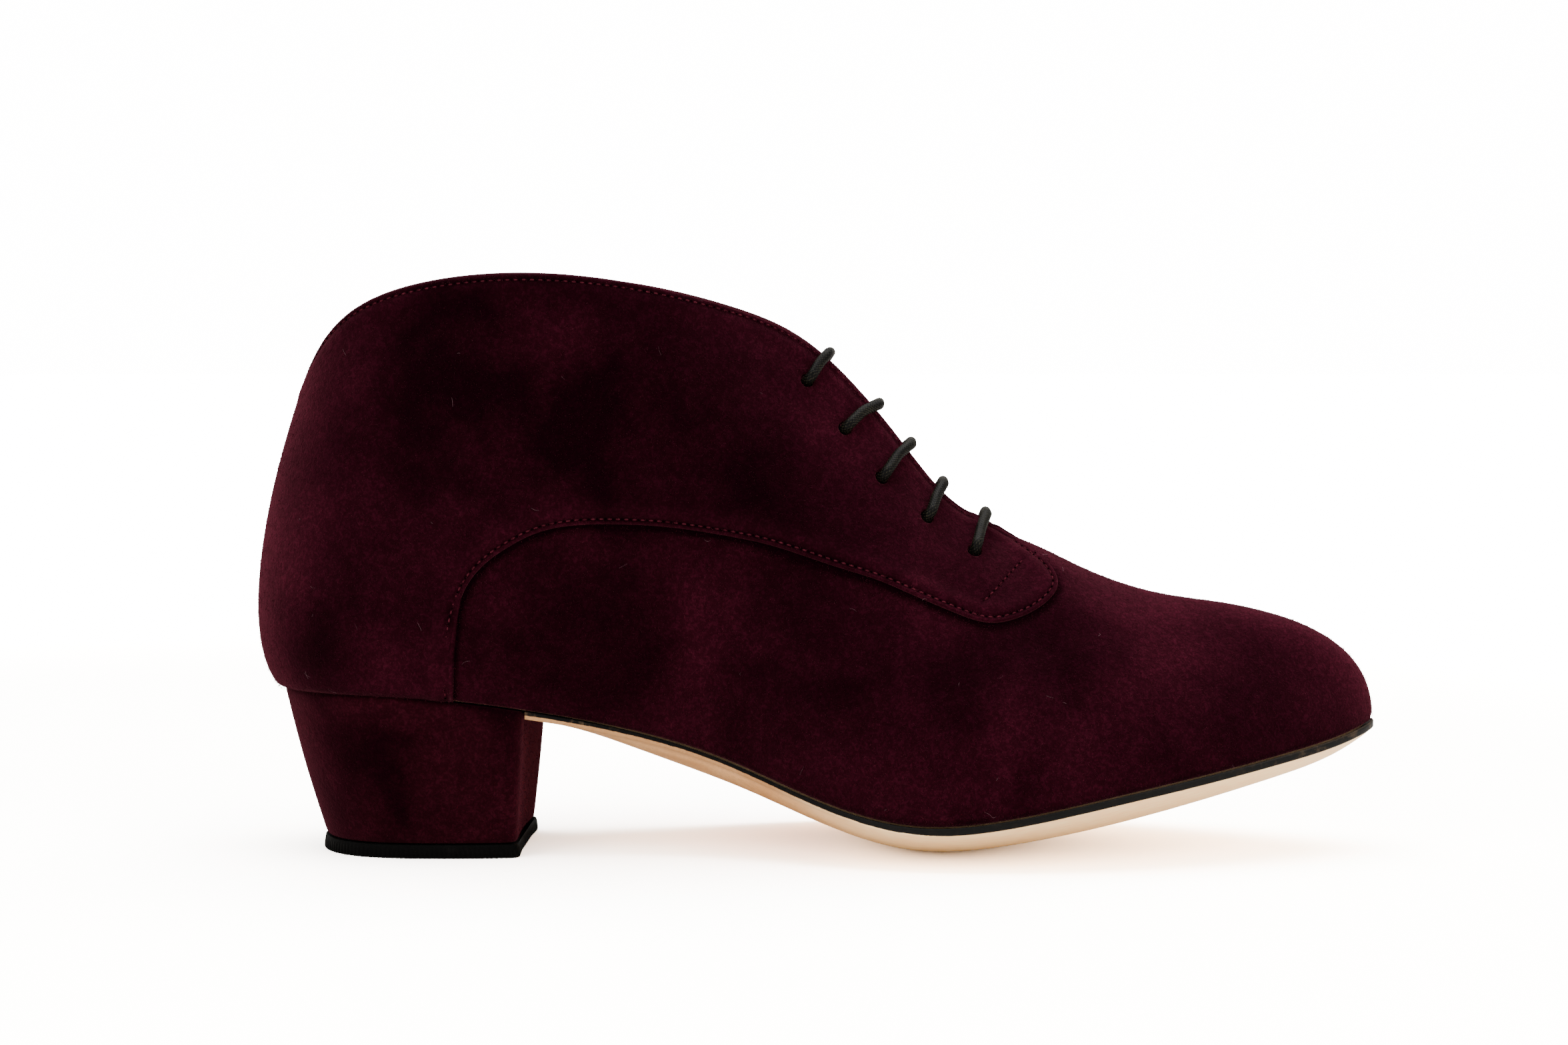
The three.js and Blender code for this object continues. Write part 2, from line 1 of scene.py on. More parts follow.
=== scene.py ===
# %% [markdown]
# # A laced dance practice shoe in suede
#
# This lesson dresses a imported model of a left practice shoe: burgundy suede over a block
# heel, a thin leather sole, and one waxed lace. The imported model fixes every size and
# place. Here each of its pieces gets a fine surface worked out with numpy and a material
# made of nodes. All lengths in the formulas are millimetres, and `MM` turns them into
# Blender's metres when a mesh is made.

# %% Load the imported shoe
import math

import bpy
import numpy as np
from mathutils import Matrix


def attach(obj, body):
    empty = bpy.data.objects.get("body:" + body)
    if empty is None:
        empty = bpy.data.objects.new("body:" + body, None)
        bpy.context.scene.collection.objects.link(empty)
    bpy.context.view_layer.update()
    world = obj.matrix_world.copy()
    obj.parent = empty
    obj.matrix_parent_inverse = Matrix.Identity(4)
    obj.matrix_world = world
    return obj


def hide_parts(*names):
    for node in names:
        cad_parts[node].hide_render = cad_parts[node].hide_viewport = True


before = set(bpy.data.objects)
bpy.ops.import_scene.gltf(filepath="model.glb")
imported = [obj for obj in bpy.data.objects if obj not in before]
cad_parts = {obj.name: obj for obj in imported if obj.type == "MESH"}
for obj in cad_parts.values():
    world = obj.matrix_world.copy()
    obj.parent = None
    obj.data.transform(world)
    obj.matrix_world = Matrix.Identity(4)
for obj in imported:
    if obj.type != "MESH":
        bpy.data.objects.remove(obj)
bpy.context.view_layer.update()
MM = 0.001
print("nodes:", sorted(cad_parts))

# %% [markdown]
# ## The camera
#
# The photograph looks at the inner side of the shoe from about 70 cm away, at the height
# of the collar. The lens axis is level, so upright edges stay upright, and a small shift
# slides the picture down to the shoe, as a view camera's rising front would.

# %% Camera
IMAGE_W = 2352                 # pixels of the photograph
PIXELS_PER_MM = 6.6            # at the shoe's middle plane
CAMERA_AWAY = 700.0
CAMERA_X = 101.7
CAMERA_HEIGHT = 119.0
AXIS_PIXEL = (1313.0, 480.0)   # where the lens axis meets the photograph
CENTRE_PIXEL = (1176.0, 784.0)


def new_object(name, data):
    made = bpy.data.objects.new(name, data)
    bpy.context.scene.collection.objects.link(made)
    return made


camera_data = bpy.data.cameras.new("photo_camera")
camera = new_object("photo_camera", camera_data)
camera.location = (CAMERA_X * MM, -CAMERA_AWAY * MM, CAMERA_HEIGHT * MM)
camera.rotation_euler = (math.radians(90), 0, 0)
camera_data.sensor_width = 36.0
camera_data.lens = camera_data.sensor_width * PIXELS_PER_MM * CAMERA_AWAY / IMAGE_W
camera_data.shift_x = (CENTRE_PIXEL[0] - AXIS_PIXEL[0]) / IMAGE_W
camera_data.shift_y = (AXIS_PIXEL[1] - CENTRE_PIXEL[1]) / IMAGE_W
bpy.context.scene.camera = camera
print("lens %.1f mm, shift %.3f %.3f" % (camera_data.lens, camera_data.shift_x, camera_data.shift_y))

# %% [markdown]
# ## The last as a function
#
# A shoemaker starts from a last, a solid foot form. Ours is a table of fifteen sections
# from the heel to the toe. Smooth closed curves run through the table, up the inner side
# and back down the outer, and each section is one cubic curve from the feather line, where
# the upper meets the sole, to the top edge. A surface made this way has no seams between
# patches, and every later piece can be laid on it at its own distance.

# %% Sizes of the last
LENGTH = 252.0
BALL_WIDTH = 76.0
SEAT_HEIGHT = 37.0
TOE_LIFT = 29.3
UPPER_HEIGHT = 92.3
COLLAR_WIDTH = 53.0
CLEARANCE = 0.3
WALL = 1.8
QUARTER_THICK = 0.9
INSOLE_THICK = 2.5
TONGUE_THICK = 1.8
SOLE_RIM = 1.6
RIM_PROUD = 0.4
SOLE_CROWN = 7.5
SOLE_THICK = 3.6
TREAD_FLAT = 0.5
BREAST = 62.7
BREAST_RAKE = 1.9
BREAST_HOLLOW = 1.0
HEEL_LENGTH = 45.0
HEEL_WIDTH = 39.8
HEEL_BOW = 0.05
TIP_THICK = 3.0
TIP_PROUD = 0.4
LACE = 2.4
LACE_PLAY = 0.6

COLUMNS = ("foot", "inner", "outer", "innerLift", "outerLift", "top", "topRise", "gap",
           "swing", "lowOut", "lowUp", "highOut", "highDown", "pitch", "crown")
SECTIONS = np.array([
    [0.025, 0.0, 0.0, 1.0, 1.0, 0.046, 0.724, 0.0, 0.0, 0.122, 0.098, 0.126, 0.28, 0.0, 0.0],
    [0.043, 0.188, 0.188, 1.0, 0.996, 0.067, 0.826, 0.225, 0.0, 0.107, 0.108, 0.086, 0.303, 0.0, 0.0],
    [0.091, 0.303, 0.303, 0.996, 0.95, 0.111, 0.942, 0.383, 0.0, 0.083, 0.119, 0.03, 0.347, 0.0, 0.0],
    [0.163, 0.333, 0.333, 0.964, 0.857, 0.183, 1.016, 0.472, 0.0, 0.07, 0.13, -0.01, 0.368, 0.0, 0.0],
    [0.246, 0.316, 0.329, 0.871, 0.689, 0.266, 1.067, 0.498, 0.0, 0.058, 0.152, 0.005, 0.368, 0.0, 0.0],
    [0.333, 0.271, 0.337, 0.714, 0.41, 0.349, 1.107, 0.453, 0.0, 0.061, 0.184, 0.053, 0.347, 0.0, 0.12],
    [0.421, 0.305, 0.384, 0.492, 0.148, 0.427, 1.125, 0.325, 0.0, 0.057, 0.217, 0.105, 0.282, -0.2, 0.32],
    [0.506, 0.412, 0.445, 0.206, 0.005, 0.498, 1.092, 0.166, -0.004, 0.047, 0.238, 0.125, 0.206, -0.6, 0.66],
    [0.591, 0.489, 0.493, 0.041, -0.027, 0.568, 0.917, 0.113, -0.011, 0.043, 0.249, 0.142, 0.163, -1.1, 1.0],
    [0.677, 0.5, 0.5, 0.151, 0.057, 0.625, 0.712, 0.094, -0.02, 0.039, 0.217, 0.178, 0.108, -0.8, 1.08],
    [0.76, 0.461, 0.454, 0.358, 0.284, 0.685, 0.586, 0.091, -0.03, 0.033, 0.173, 0.237, 0.0, -0.5, 1.1],
    [0.839, 0.375, 0.366, 0.546, 0.506, 0.742, 0.469, 0.085, -0.041, 0.026, 0.146, 0.237, 0.0, -0.45, 0.94],
    [0.911, 0.268, 0.254, 0.723, 0.704, 0.806, 0.369, 0.075, -0.05, 0.02, 0.13, 0.211, 0.0, -0.25, 0.71],
    [0.967, 0.152, 0.144, 0.877, 0.872, 0.869, 0.307, 0.038, -0.057, 0.013, 0.124, 0.198, 0.0, -0.17, 0.42],
    [1.0, 0.0, 0.0, 1.0, 1.0, 0.909, 0.255, 0.0, -0.059, 0.007, 0.122, 0.208, 0.0, -0.27, 0.06],
])
BALL = 8
TOE = len(SECTIONS) - 1
RING = 2 * TOE
THROAT = 9.8
THROAT_ROUND = 0.7
THROAT_ZONE = 0.85
ORIGIN = BREAST - BREAST_RAKE - HEEL_LENGTH / 2
BALL_LIFT = CLEARANCE + SOLE_RIM + SOLE_CROWN - TREAD_FLAT


# %% Smooth closed curves
class Ring:
    """A periodic cubic spline through one value for each station: between two values the
    curve is a*p + b*q + ((a^3 - a)*P + (b^3 - b)*Q)/6, with P and Q the bends there."""

    def __init__(self, inner, outer=None):
        outer = inner if outer is None else outer
        self.values = np.concatenate([inner, outer[-2:0:-1]])
        size = len(self.values)
        turn = np.eye(size)
        system = 4 * turn + np.roll(turn, 1, 1) + np.roll(turn, -1, 1)
        pull = 6 * (np.roll(self.values, 1) - 2 * self.values + np.roll(self.values, -1))
        self.bend = np.linalg.solve(system, pull)

    def _locate(self, station):
        turned = np.mod(station, RING)
        start = np.floor(turned).astype(int)
        b = turned - start
        return start % RING, (start + 1) % RING, 1 - b, b

    def at(self, station):
        i, j, a, b = self._locate(station)
        straight = a * self.values[i] + b * self.values[j]
        return straight + ((a ** 3 - a) * self.bend[i] + (b ** 3 - b) * self.bend[j]) / 6

    def slope(self, station):
        i, j, a, b = self._locate(station)
        straight = self.values[j] - self.values[i]
        return straight + ((1 - 3 * a * a) * self.bend[i] + (3 * b * b - 1) * self.bend[j]) / 6


def column(name):
    return SECTIONS[:, COLUMNS.index(name)]


def lifted(share):
    """Heights climb from the ball to the seat behind it, and to the toe in front of it."""
    ends = np.where(np.arange(TOE + 1) > BALL, TOE_LIFT, SEAT_HEIGHT)
    return BALL_LIFT + share * (ends - BALL_LIFT)


inner_lift = lifted(column("innerLift"))
outer_lift = lifted(column("outerLift"))
swing = column("swing") * BALL_WIDTH
foot_x = Ring(column("foot") * LENGTH - ORIGIN)
foot_y = Ring(swing - column("inner") * BALL_WIDTH, swing + column("outer") * BALL_WIDTH)
foot_z = Ring(inner_lift, outer_lift)
top_x = Ring(column("top") * LENGTH - ORIGIN)
top_y = Ring(swing)
top_z = Ring(column("topRise") * UPPER_HEIGHT + (inner_lift + outer_lift) / 2)
gap_half = Ring(-column("gap") * COLLAR_WIDTH, column("gap") * COLLAR_WIDTH)
low_out = Ring(column("lowOut") * BALL_WIDTH)
low_up = Ring(column("lowUp") * UPPER_HEIGHT)
high_out = Ring(column("highOut") * BALL_WIDTH)
high_down = Ring(column("highDown") * UPPER_HEIGHT)
pitch = Ring(column("pitch"))
crown = Ring(column("crown") * SOLE_CROWN)


# %% Points of the last
def fold(station):
    return np.where(station > TOE, RING - station, station)


def stack_xyz(x, y, z):
    return np.stack(np.broadcast_arrays(x, y, z), axis=-1)


def unit(vectors):
    return vectors / np.linalg.norm(vectors, axis=-1, keepdims=True)


def path_length(path):
    """Sum of the distances between neighbours along the last axis but one."""
    return np.linalg.norm(np.diff(path, axis=-2), axis=-1).sum(-1)


def paired(station, rise):
    return np.broadcast_arrays(np.asarray(station, float), np.asarray(rise, float))


def foot(station):
    """The feather line."""
    return stack_xyz(foot_x.at(station), foot_y.at(station), foot_z.at(station))


def outward(station):
    """Unit vector square to the feather line, seen from above."""
    x, y = foot_y.slope(station), -foot_x.slope(station)
    length = np.hypot(x, y)
    return stack_xyz(x / length, y / length, 0.0)


def smooth(value, low, high):
    """s^2 * (3 - 2s), where s climbs from 0 to 1 between low and high."""
    share = np.clip((value - low) / (high - low), 0, 1)
    return share * share * (3 - 2 * share)


def top(station, rise):
    """The top edge; the throat's two edges meet in a round end and go on as one ridge. Lower
    down the walls draw together softly instead, so that no crease runs down the vamp."""
    folded = fold(station)
    behind = np.clip((THROAT - folded) / THROAT_ROUND, 0, 1)
    at_edge = smooth(rise, THROAT_ZONE, 1)
    share = np.sqrt(behind * (2 - behind)) * at_edge + smooth(behind, 0, 1) * (1 - at_edge)
    opened = gap_half.at(station) * share
    return stack_xyz(top_x.at(folded), top_y.at(folded) + opened, top_z.at(folded))


def last(station, rise):
    """Cubic curve of each section: (1-r)^3 low + 3r(1-r)^2 handle + 3r^2(1-r) handle + r^3 top."""
    station, rise = paired(station, rise)
    low, high, out = foot(station), top(station, rise), outward(station)
    low_handle = low + out * low_out.at(station)[..., None]
    low_handle[..., 2] += low_up.at(station)
    reach = high_out.at(station)
    high_handle = high + out * reach[..., None]
    high_handle[..., 2] += out[..., 0] * reach * pitch.at(station) - high_down.at(station)
    r = rise[..., None]
    return ((1 - r) ** 3 * low + 3 * r * (1 - r) ** 2 * low_handle
            + 3 * r * r * (1 - r) * high_handle + r ** 3 * high)


def side_normal(station, rise):
    """Cross product of the slopes along and up the surface, made one unit long."""
    step = 1e-3
    inside = np.clip(rise, 0.02, 0.97)
    along = last(station + step, inside) - last(station - step, inside)
    up = last(station, inside + step) - last(station, inside - step)
    return unit(np.cross(along, up))


def skin(station, rise, distance):
    """A point that lies a distance outside the last; both sides share the ridge's normal."""
    station, rise = paired(station, rise)
    normal = side_normal(station, rise)
    other = side_normal(RING - station, rise)
    shared = unit(normal + other)
    near = (smooth(rise, 0.9, 1) * smooth(fold(station), THROAT - 0.1, THROAT + 0.1))[..., None]
    normal = unit(normal * (1 - near) + shared * near)
    return last(station, rise) + normal * np.asarray(distance, float)[..., None]


def side(section, inner=True):
    """Station of a section on the inner or the outer side."""
    return np.asarray(section, float) if inner else RING - np.asarray(section, float)


toe_end = last(TOE, 0.3)
print("toe reaches x = %.1f mm" % toe_end[0])

# %% [markdown]
# ## Meshes from grids
#
# Every piece below is one or more grids of points. A helper numbers the corners of each
# small square, welds points that coincide, drops squares that have shrunk to a line, and
# hands the whole arrays to Blender with `foreach_set`, which is far quicker than adding
# faces one by one.


# %% Mesh helpers
def grid_faces(rows, columns, start=0, wrap_rows=False, wrap_columns=False):
    """Corner numbers of the squares of a grid whose point (i, j) is start + i*columns + j."""
    i = np.arange(rows if wrap_rows else rows - 1)[:, None]
    j = np.arange(columns if wrap_columns else columns - 1)[None, :]
    i2, j2 = (i + 1) % rows, (j + 1) % columns
    corners = [i * columns + j, i2 * columns + j, i2 * columns + j2, i * columns + j2]
    return start + np.stack([np.broadcast_to(c, (i.size, j.size)) for c in corners], -1).reshape(-1, 4)


def make_mesh(name, points, faces, material_of_face=None, weld=0.002, wear=None):
    """Weld points closer than the weld in mm, split faces into quads and triangles, and build
    a smooth mesh. The value of each point is kept as an attribute: on most pieces painted
    light, painted shade below 0 and, above it, painted highlight and paler edges; on the
    sole its depth below the feather line."""
    points = np.asarray(points, float).reshape(-1, 3)
    keys = np.round(points / weld).astype(np.int64)
    _, first, number = np.unique(keys, axis=0, return_index=True, return_inverse=True)
    number = number.reshape(-1)
    faces = number[np.asarray(faces)]
    repeated = faces == np.roll(faces, -1, axis=1)
    crossed = (faces[:, 0] == faces[:, 2]) | (faces[:, 1] == faces[:, 3])
    good = (repeated.sum(1) <= 1) & ~crossed
    faces, repeated = faces[good], repeated[good]
    slots = np.zeros(len(good), int) if material_of_face is None else np.asarray(material_of_face)
    slots = slots[good]
    is_quad = repeated.sum(1) == 0
    order = np.concatenate([np.flatnonzero(is_quad), np.flatnonzero(~is_quad)])
    loops = faces.reshape(-1)[~repeated.reshape(-1)] if is_quad.all() else np.concatenate(
        [faces[is_quad].reshape(-1), faces[~is_quad].reshape(-1)[~repeated[~is_quad].reshape(-1)]])
    sizes = np.where(is_quad, 4, 3)[order]
    used = np.unique(loops)
    renumber = np.zeros(len(first), int)
    renumber[used] = np.arange(len(used))
    mesh = bpy.data.meshes.new(name)
    mesh.vertices.add(len(used))
    mesh.vertices.foreach_set("co", (points[first[used]] * MM).astype(np.float32).reshape(-1))
    mesh.loops.add(len(loops))
    mesh.loops.foreach_set("vertex_index", renumber[loops].astype(np.int32))
    mesh.polygons.add(len(sizes))
    starts = np.concatenate([[0], np.cumsum(sizes)[:-1]])
    mesh.polygons.foreach_set("loop_start", starts.astype(np.int32))
    mesh.polygons.foreach_set("use_smooth", np.ones(len(sizes), bool))
    mesh.polygons.foreach_set("material_index", slots[order].astype(np.int32))
    mesh.update(calc_edges=True)
    mesh.validate()
    if wear is not None:
        kept = np.asarray(wear, np.float32).reshape(-1)[first[used]]
        mesh.attributes.new("wear", "FLOAT", "POINT").data.foreach_set("value", kept)
    return mesh


def make_piece(name, mesh, materials, nodes=()):
    """Link a mesh as an object that rides on the shoe and stands for the named nodes."""
    piece = new_object(name, mesh)
    for material in materials:
        mesh.materials.append(material)
    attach(piece, "root")
    if nodes:
        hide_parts(*nodes)
    triangles = sum(len(p.vertices) - 2 for p in mesh.polygons)
    print("%-14s %6d triangles" % (name, triangles))
    return piece


def stacked_faces(rows, columns, start=0):
    """Faces of a closed stack of loops: its side, and a ladder across each end loop, whose
    two halves meet at points 0 and columns/2."""
    side_faces = grid_faces(rows, columns, start, wrap_columns=True)[:, ::-1]
    i = np.arange(columns // 2)
    j, k = (columns - i) % columns, (columns - i - 1) % columns
    first = np.stack([i, i + 1, k, j], -1) + start
    final = np.stack([i, j, k, i + 1], -1) + start + (rows - 1) * columns
    return np.concatenate([side_faces[:, ::-1], first[:, ::-1], final[:, ::-1]])


def catmull(points, samples):
    """Catmull-Rom curve through the points, sampled evenly between each pair."""
    points = np.asarray(points, float)
    ends = np.concatenate([[2 * points[0] - points[1]], points, [2 * points[-1] - points[-2]]])
    t = (np.arange(samples) / samples)[None, :, None]
    a, b, c, d = (ends[i:i + len(points) - 1, None, :] for i in range(4))
    curve = 0.5 * (2 * b + (c - a) * t + (2 * a - 5 * b + 4 * c - d) * t ** 2
                   + (3 * b - a - 3 * c + d) * t ** 3)
    return np.concatenate([curve.reshape(-1, points.shape[1]), points[-1:]])


def even_lengths(path, spots):
    """Shares of a path's own parameter at which its length, in space, is at the spots."""
    steps = np.linalg.norm(np.diff(path, axis=0), axis=1)
    along = np.concatenate([[0], np.cumsum(steps)])
    return np.interp(np.asarray(spots) * along[-1], along, np.arange(len(path)))


def pick(table, index):
    """Read a table of rows at fractional row numbers."""
    numbers = np.arange(len(table))
    return np.stack([np.interp(index, numbers, column_values) for column_values in table.T], -1)


def nearest(points, line):
    """Distance in mm from each point to the nearest point of a dense line:
    sqrt(|p|^2 - 2 p.q + |q|^2), worked out as one matrix product for a block of points."""
    flat = points.reshape(-1, 3)
    result = np.empty(len(flat))
    block = 4000
    for start in range(0, len(flat), block):
        part = flat[start:start + block]
        squares = (part ** 2).sum(1)[:, None] - 2 * part @ line.T + (line ** 2).sum(1)[None, :]
        result[start:start + block] = np.sqrt(np.maximum(squares.min(1), 0))
    return result.reshape(points.shape[:-1])


def bell(distance, centre, width):
    """exp(-((distance - centre) / width)^2): 1 on a line, and soon 0 beside it."""
    return np.exp(-((distance - centre) / width) ** 2)


print("mesh helpers ready")

# %% [markdown]
# ## Suede, worked out in nodes
#
# Suede is leather with its flesh side brushed up into a short nap. Seen closely it is a
# fine grain; from a step away it shows cloudy patches where fingers have turned the nap,
# and a soft pale bloom where the surface turns away from the eye. The patches are noise
# at two sizes, with listed marks that are partly brushed nap and partly painted light:
# paler on the curved back and the toe, darker high on the quarter. Each piece's own value
# per point adds painted shade and painted highlight on top. The grain is a finer noise
# that also drives the bump, and the bloom is the sheen of the Principled shader. The
# patches and grain are one node group, so that the vamp, quarters, tongue and heel share
# them with values of their own.


# %% Node helpers
def new_group(name, inputs, outputs):
    group = bpy.data.node_groups.new(name, "ShaderNodeTree")
    for label, kind, value in inputs:
        socket = group.interface.new_socket(name=label, in_out="INPUT", socket_type=kind)
        socket.default_value = value
    for label, kind in outputs:
        group.interface.new_socket(name=label, in_out="OUTPUT", socket_type=kind)
    return group, group.nodes.new("NodeGroupInput"), group.nodes.new("NodeGroupOutput")


class Wires:
    """A short way to add nodes and join their sockets."""

    def __init__(self, tree):
        self.tree = tree

    def feed(self, socket, value):
        """Join a socket to another one, or give it a plain value."""
        if isinstance(value, bpy.types.NodeSocket):
            self.tree.links.new(value, socket)
        else:
            socket.default_value = value

    def node(self, kind, settings=None, **values):
        node = self.tree.nodes.new(kind)
        for key, value in (settings or {}).items():
            setattr(node, key, value)
        for key, value in values.items():
            numbered = key[0] == "i" and key[1:].isdigit()
            self.feed(node.inputs[int(key[1:]) if numbered else key.replace("_", " ")], value)
        return node

    def math(self, operation, a, b=0.0, clamp=False):
        settings = {"operation": operation, "use_clamp": clamp}
        return self.node("ShaderNodeMath", settings, i0=a, i1=b).outputs[0]

    def plus(self, a, b, clamp=False):
        return self.math("ADD", a, b, clamp)

    def minus(self, a, b):
        return self.math("SUBTRACT", a, b)

    def times(self, a, b):
        return self.math("MULTIPLY", a, b)

    def vector(self, operation, a, b=(0, 0, 0)):
        return self.node("ShaderNodeVectorMath", {"operation": operation}, i0=a, i1=b).outputs

    # Reads each point's painted shade and painted highlight, or on the sole its depth.
    def wear(self):
        return self.node("ShaderNodeAttribute", {"attribute_name": "wear"}).outputs["Fac"]

    def noise(self, vector, scale, detail=2.0, roughness=0.5, distortion=0.0):
        return self.node("ShaderNodeTexNoise", None, Vector=vector, Scale=scale, Detail=detail,
                         Roughness=roughness, Distortion=distortion).outputs["Fac"]

    def ramp(self, value, low, high):
        settings = {"interpolation_type": "SMOOTHSTEP"}
        return self.node("ShaderNodeMapRange", settings, i0=value, i1=low, i2=high).outputs[0]

    def blend(self, factor, a, b, mode="MIX"):
        mix = self.tree.nodes.new("ShaderNodeMix")
        mix.data_type = "RGBA"
        mix.blend_type = mode
        for socket, value in ((mix.inputs[0], factor), (mix.inputs[6], a), (mix.inputs[7], b)):
            self.feed(socket, value)
        return mix.outputs[2]


def new_material(name):
    material = bpy.data.materials.new(name)
    material.use_nodes = True
    tree = material.node_tree
    shader = tree.nodes["Principled BSDF"]
    wires = Wires(tree)
    place = wires.node("ShaderNodeTexCoord").outputs["Object"]
    return material, wires, shader, place


def dress(wires, shader, colour, rough, height, strength, depth, **levels):
    """Join a colour, a roughness and a bump of the height, whose depth is in metres, to the
    shader, and set its other levels."""
    raised = wires.node("ShaderNodeBump", None, Strength=strength, Distance=depth, Height=height)
    levels.update(Base_Color=colour, Roughness=rough, Normal=raised.outputs[0])
    for label, value in levels.items():
        wires.feed(shader.inputs[label.replace("_", " ")], value)


def linear(*rgb):
    """A colour written as the eye sees it, 0 to 255, in the linear values that shaders use."""
    c = np.array(rgb) / 255.0
    c = np.where(c <= 0.04045, c / 12.92, ((c + 0.055) / 1.055) ** 2.4)
    return (float(c[0]), float(c[1]), float(c[2]), 1.0)


# %% The nap group
nap, nap_in, nap_out = new_group("brushed_nap", [
    ("Vector", "NodeSocketVector", (0, 0, 0)),
    ("Wear", "NodeSocketFloat", 0.0),
    ("Dark", "NodeSocketColor", (0, 0, 0, 1)),
    ("Light", "NodeSocketColor", (1, 1, 1, 1)),
    ("Patches", "NodeSocketFloat", 60.0),
    ("Grain", "NodeSocketFloat", 1500.0),
    ("Contrast", "NodeSocketFloat", 1.0),
], [("Color", "NodeSocketColor"), ("Height", "NodeSocketFloat"), ("Roughness", "NodeSocketFloat")])
w = Wires(nap)
where = nap_in.outputs["Vector"]
clouds = w.noise(where, nap_in.outputs["Patches"], 2.0, 0.45, 0.6)
small_clouds = w.noise(where, w.times(nap_in.outputs["Patches"], 5.0), 3.0, 0.55, 0.4)
grain = w.noise(where, nap_in.outputs["Grain"], 3.0, 0.65, 0.0)
pile = w.noise(where, w.times(nap_in.outputs["Grain"], 0.4), 2.0, 0.6, 0.8)
turned = w.plus(w.times(clouds, 0.78), w.times(small_clouds, 0.22))
turned = w.ramp(turned, 0.30, 0.70)
speckle = w.ramp(w.plus(w.times(grain, 0.5), w.times(pile, 0.5)), 0.42, 0.70)
amount = w.times(w.minus(turned, 0.5), w.times(nap_in.outputs["Contrast"], 0.62))
# This input adds each point's painted shade and painted highlight, and the marks, to the patches.
amount = w.plus(w.plus(amount, 0.42), nap_in.outputs["Wear"], clamp=True)
patch = w.blend(amount, nap_in.outputs["Dark"], nap_in.outputs["Light"])
tufts = w.plus(w.times(speckle, 0.95), 0.62)
tufted = w.node("ShaderNodeVectorMath", {"operation": "SCALE"}, i0=patch, Scale=tufts).outputs[0]
nap.links.new(tufted, nap_out.inputs["Color"])
height = w.plus(w.times(grain, 0.5), w.times(pile, 0.5))
nap.links.new(height, nap_out.inputs["Height"])
nap.links.new(w.plus(w.times(turned, -0.08), 0.95), nap_out.inputs["Roughness"])
print("nap group:", len(nap.nodes), "nodes")

# %% Brushed nap and painted light
# Patches of brushed nap and of painted light: place along and up the shoe, radius, all in mm,
# and how much lighter (or, below zero, darker) it lies there. The pale patches on the
# curved back and at the toe are partly painted highlight, and the dark ones high on the
# quarter partly painted shade.
NAP_AND_PAINTED_LIGHT_MARKS = [
    {"x": -38, "z": 72, "radius": 30, "amount": 0.42},
    {"x": -8, "z": 39, "radius": 13, "amount": 0.30},
    {"x": -20, "z": 50, "radius": 15, "amount": -0.16},
    {"x": -16, "z": 64, "radius": 20, "amount": -0.22},
    {"x": 8, "z": 114, "radius": 28, "amount": -0.46},
    {"x": 30, "z": 94, "radius": 42, "amount": -0.34},
    {"x": 66, "z": 82, "radius": 32, "amount": -0.20},
    {"x": 98, "z": 90, "radius": 24, "amount": 0.26},
    {"x": 40, "z": 52, "radius": 34, "amount": -0.10},
    {"x": 132, "z": 58, "radius": 24, "amount": -0.05},
    {"x": 132, "z": 32, "radius": 26, "amount": -0.10},
    {"x": 92, "z": 26, "radius": 34, "amount": -0.16},
    {"x": 178, "z": 66, "radius": 34, "amount": 0.46},
    {"x": 174, "z": 38, "radius": 18, "amount": -0.08},
    {"x": 206, "z": 44, "radius": 24, "amount": 0.36},
    {"x": 168, "z": 28, "radius": 22, "amount": -0.12},
    {"x": -4, "z": 17, "radius": 21, "amount": -0.26},
    {"x": -22, "z": 18, "radius": 12, "amount": 0.10},
]


def brushed_and_painted_light(wires, place):
    """Sum over the marks of amount * smoothstep of (radius - distance), seen from the side."""
    flat = wires.vector("MULTIPLY", place, (1, 0, 1))[0]
    total = 0.0
    for mark in NAP_AND_PAINTED_LIGHT_MARKS:
        centre = (mark["x"] * MM, 0, mark["z"] * MM)
        away = wires.vector("DISTANCE", flat, centre)["Value"]
        fall = wires.ramp(away, mark["radius"] * MM, 0.0)
        total = wires.plus(wires.times(fall, mark["amount"]), total)
    return total


# %% Suede materials
SHEEN_TINT = linear(214, 112, 134)


def suede(name, dark, light, contrast=1.0, patches=30.0, sheen=0.12, marks=True):
    material, wires, shader, place = new_material(name)
    # Each point's painted shade and painted highlight, then the marks of brushed nap and painted light.
    paler_by = wires.wear()
    if marks:
        paler_by = wires.plus(paler_by, brushed_and_painted_light(wires, place))
    group = wires.node("ShaderNodeGroup", {"node_tree": nap}, Vector=place, Wear=paler_by, Dark=dark,
                       Light=light, Patches=patches, Grain=2000.0, Contrast=contrast).outputs
    dress(wires, shader, group["Color"], group["Roughness"], group["Height"], 0.9, 0.00035,
          Specular_IOR_Level=0.0, Sheen_Weight=sheen, Sheen_Roughness=0.5, Sheen_Tint=SHEEN_TINT)
    return material


SUEDE_DARK = linear(9, 0, 3)
SUEDE_LIGHT = linear(43, 8, 19)
suede_upper = suede("suede_burgundy", SUEDE_DARK, SUEDE_LIGHT)
suede_heel = suede("suede_heel_cover", linear(10, 0, 3), linear(38, 7, 15), 1.2, 45.0)
suede_edge = suede("suede_cut_edge", linear(24, 4, 8), linear(46, 14, 18), 1.0, 200.0, 0.05, marks=False)
nap_fibre = suede("nap_fibre", linear(13, 1, 5), linear(66, 20, 33), 1.1)
print("suede ready")

# %% [markdown]
# ## Leather, rubber, thread and cord
#
# The lining and the footbed are smooth leather with fine pores. The sole is vegetable
# tanned leather: fibrous and tan under the waist, ground smooth and creamy at the
# forefoot, with a black painted edge. These differ from place to place, so the colour is
# steered by the piece's own position.


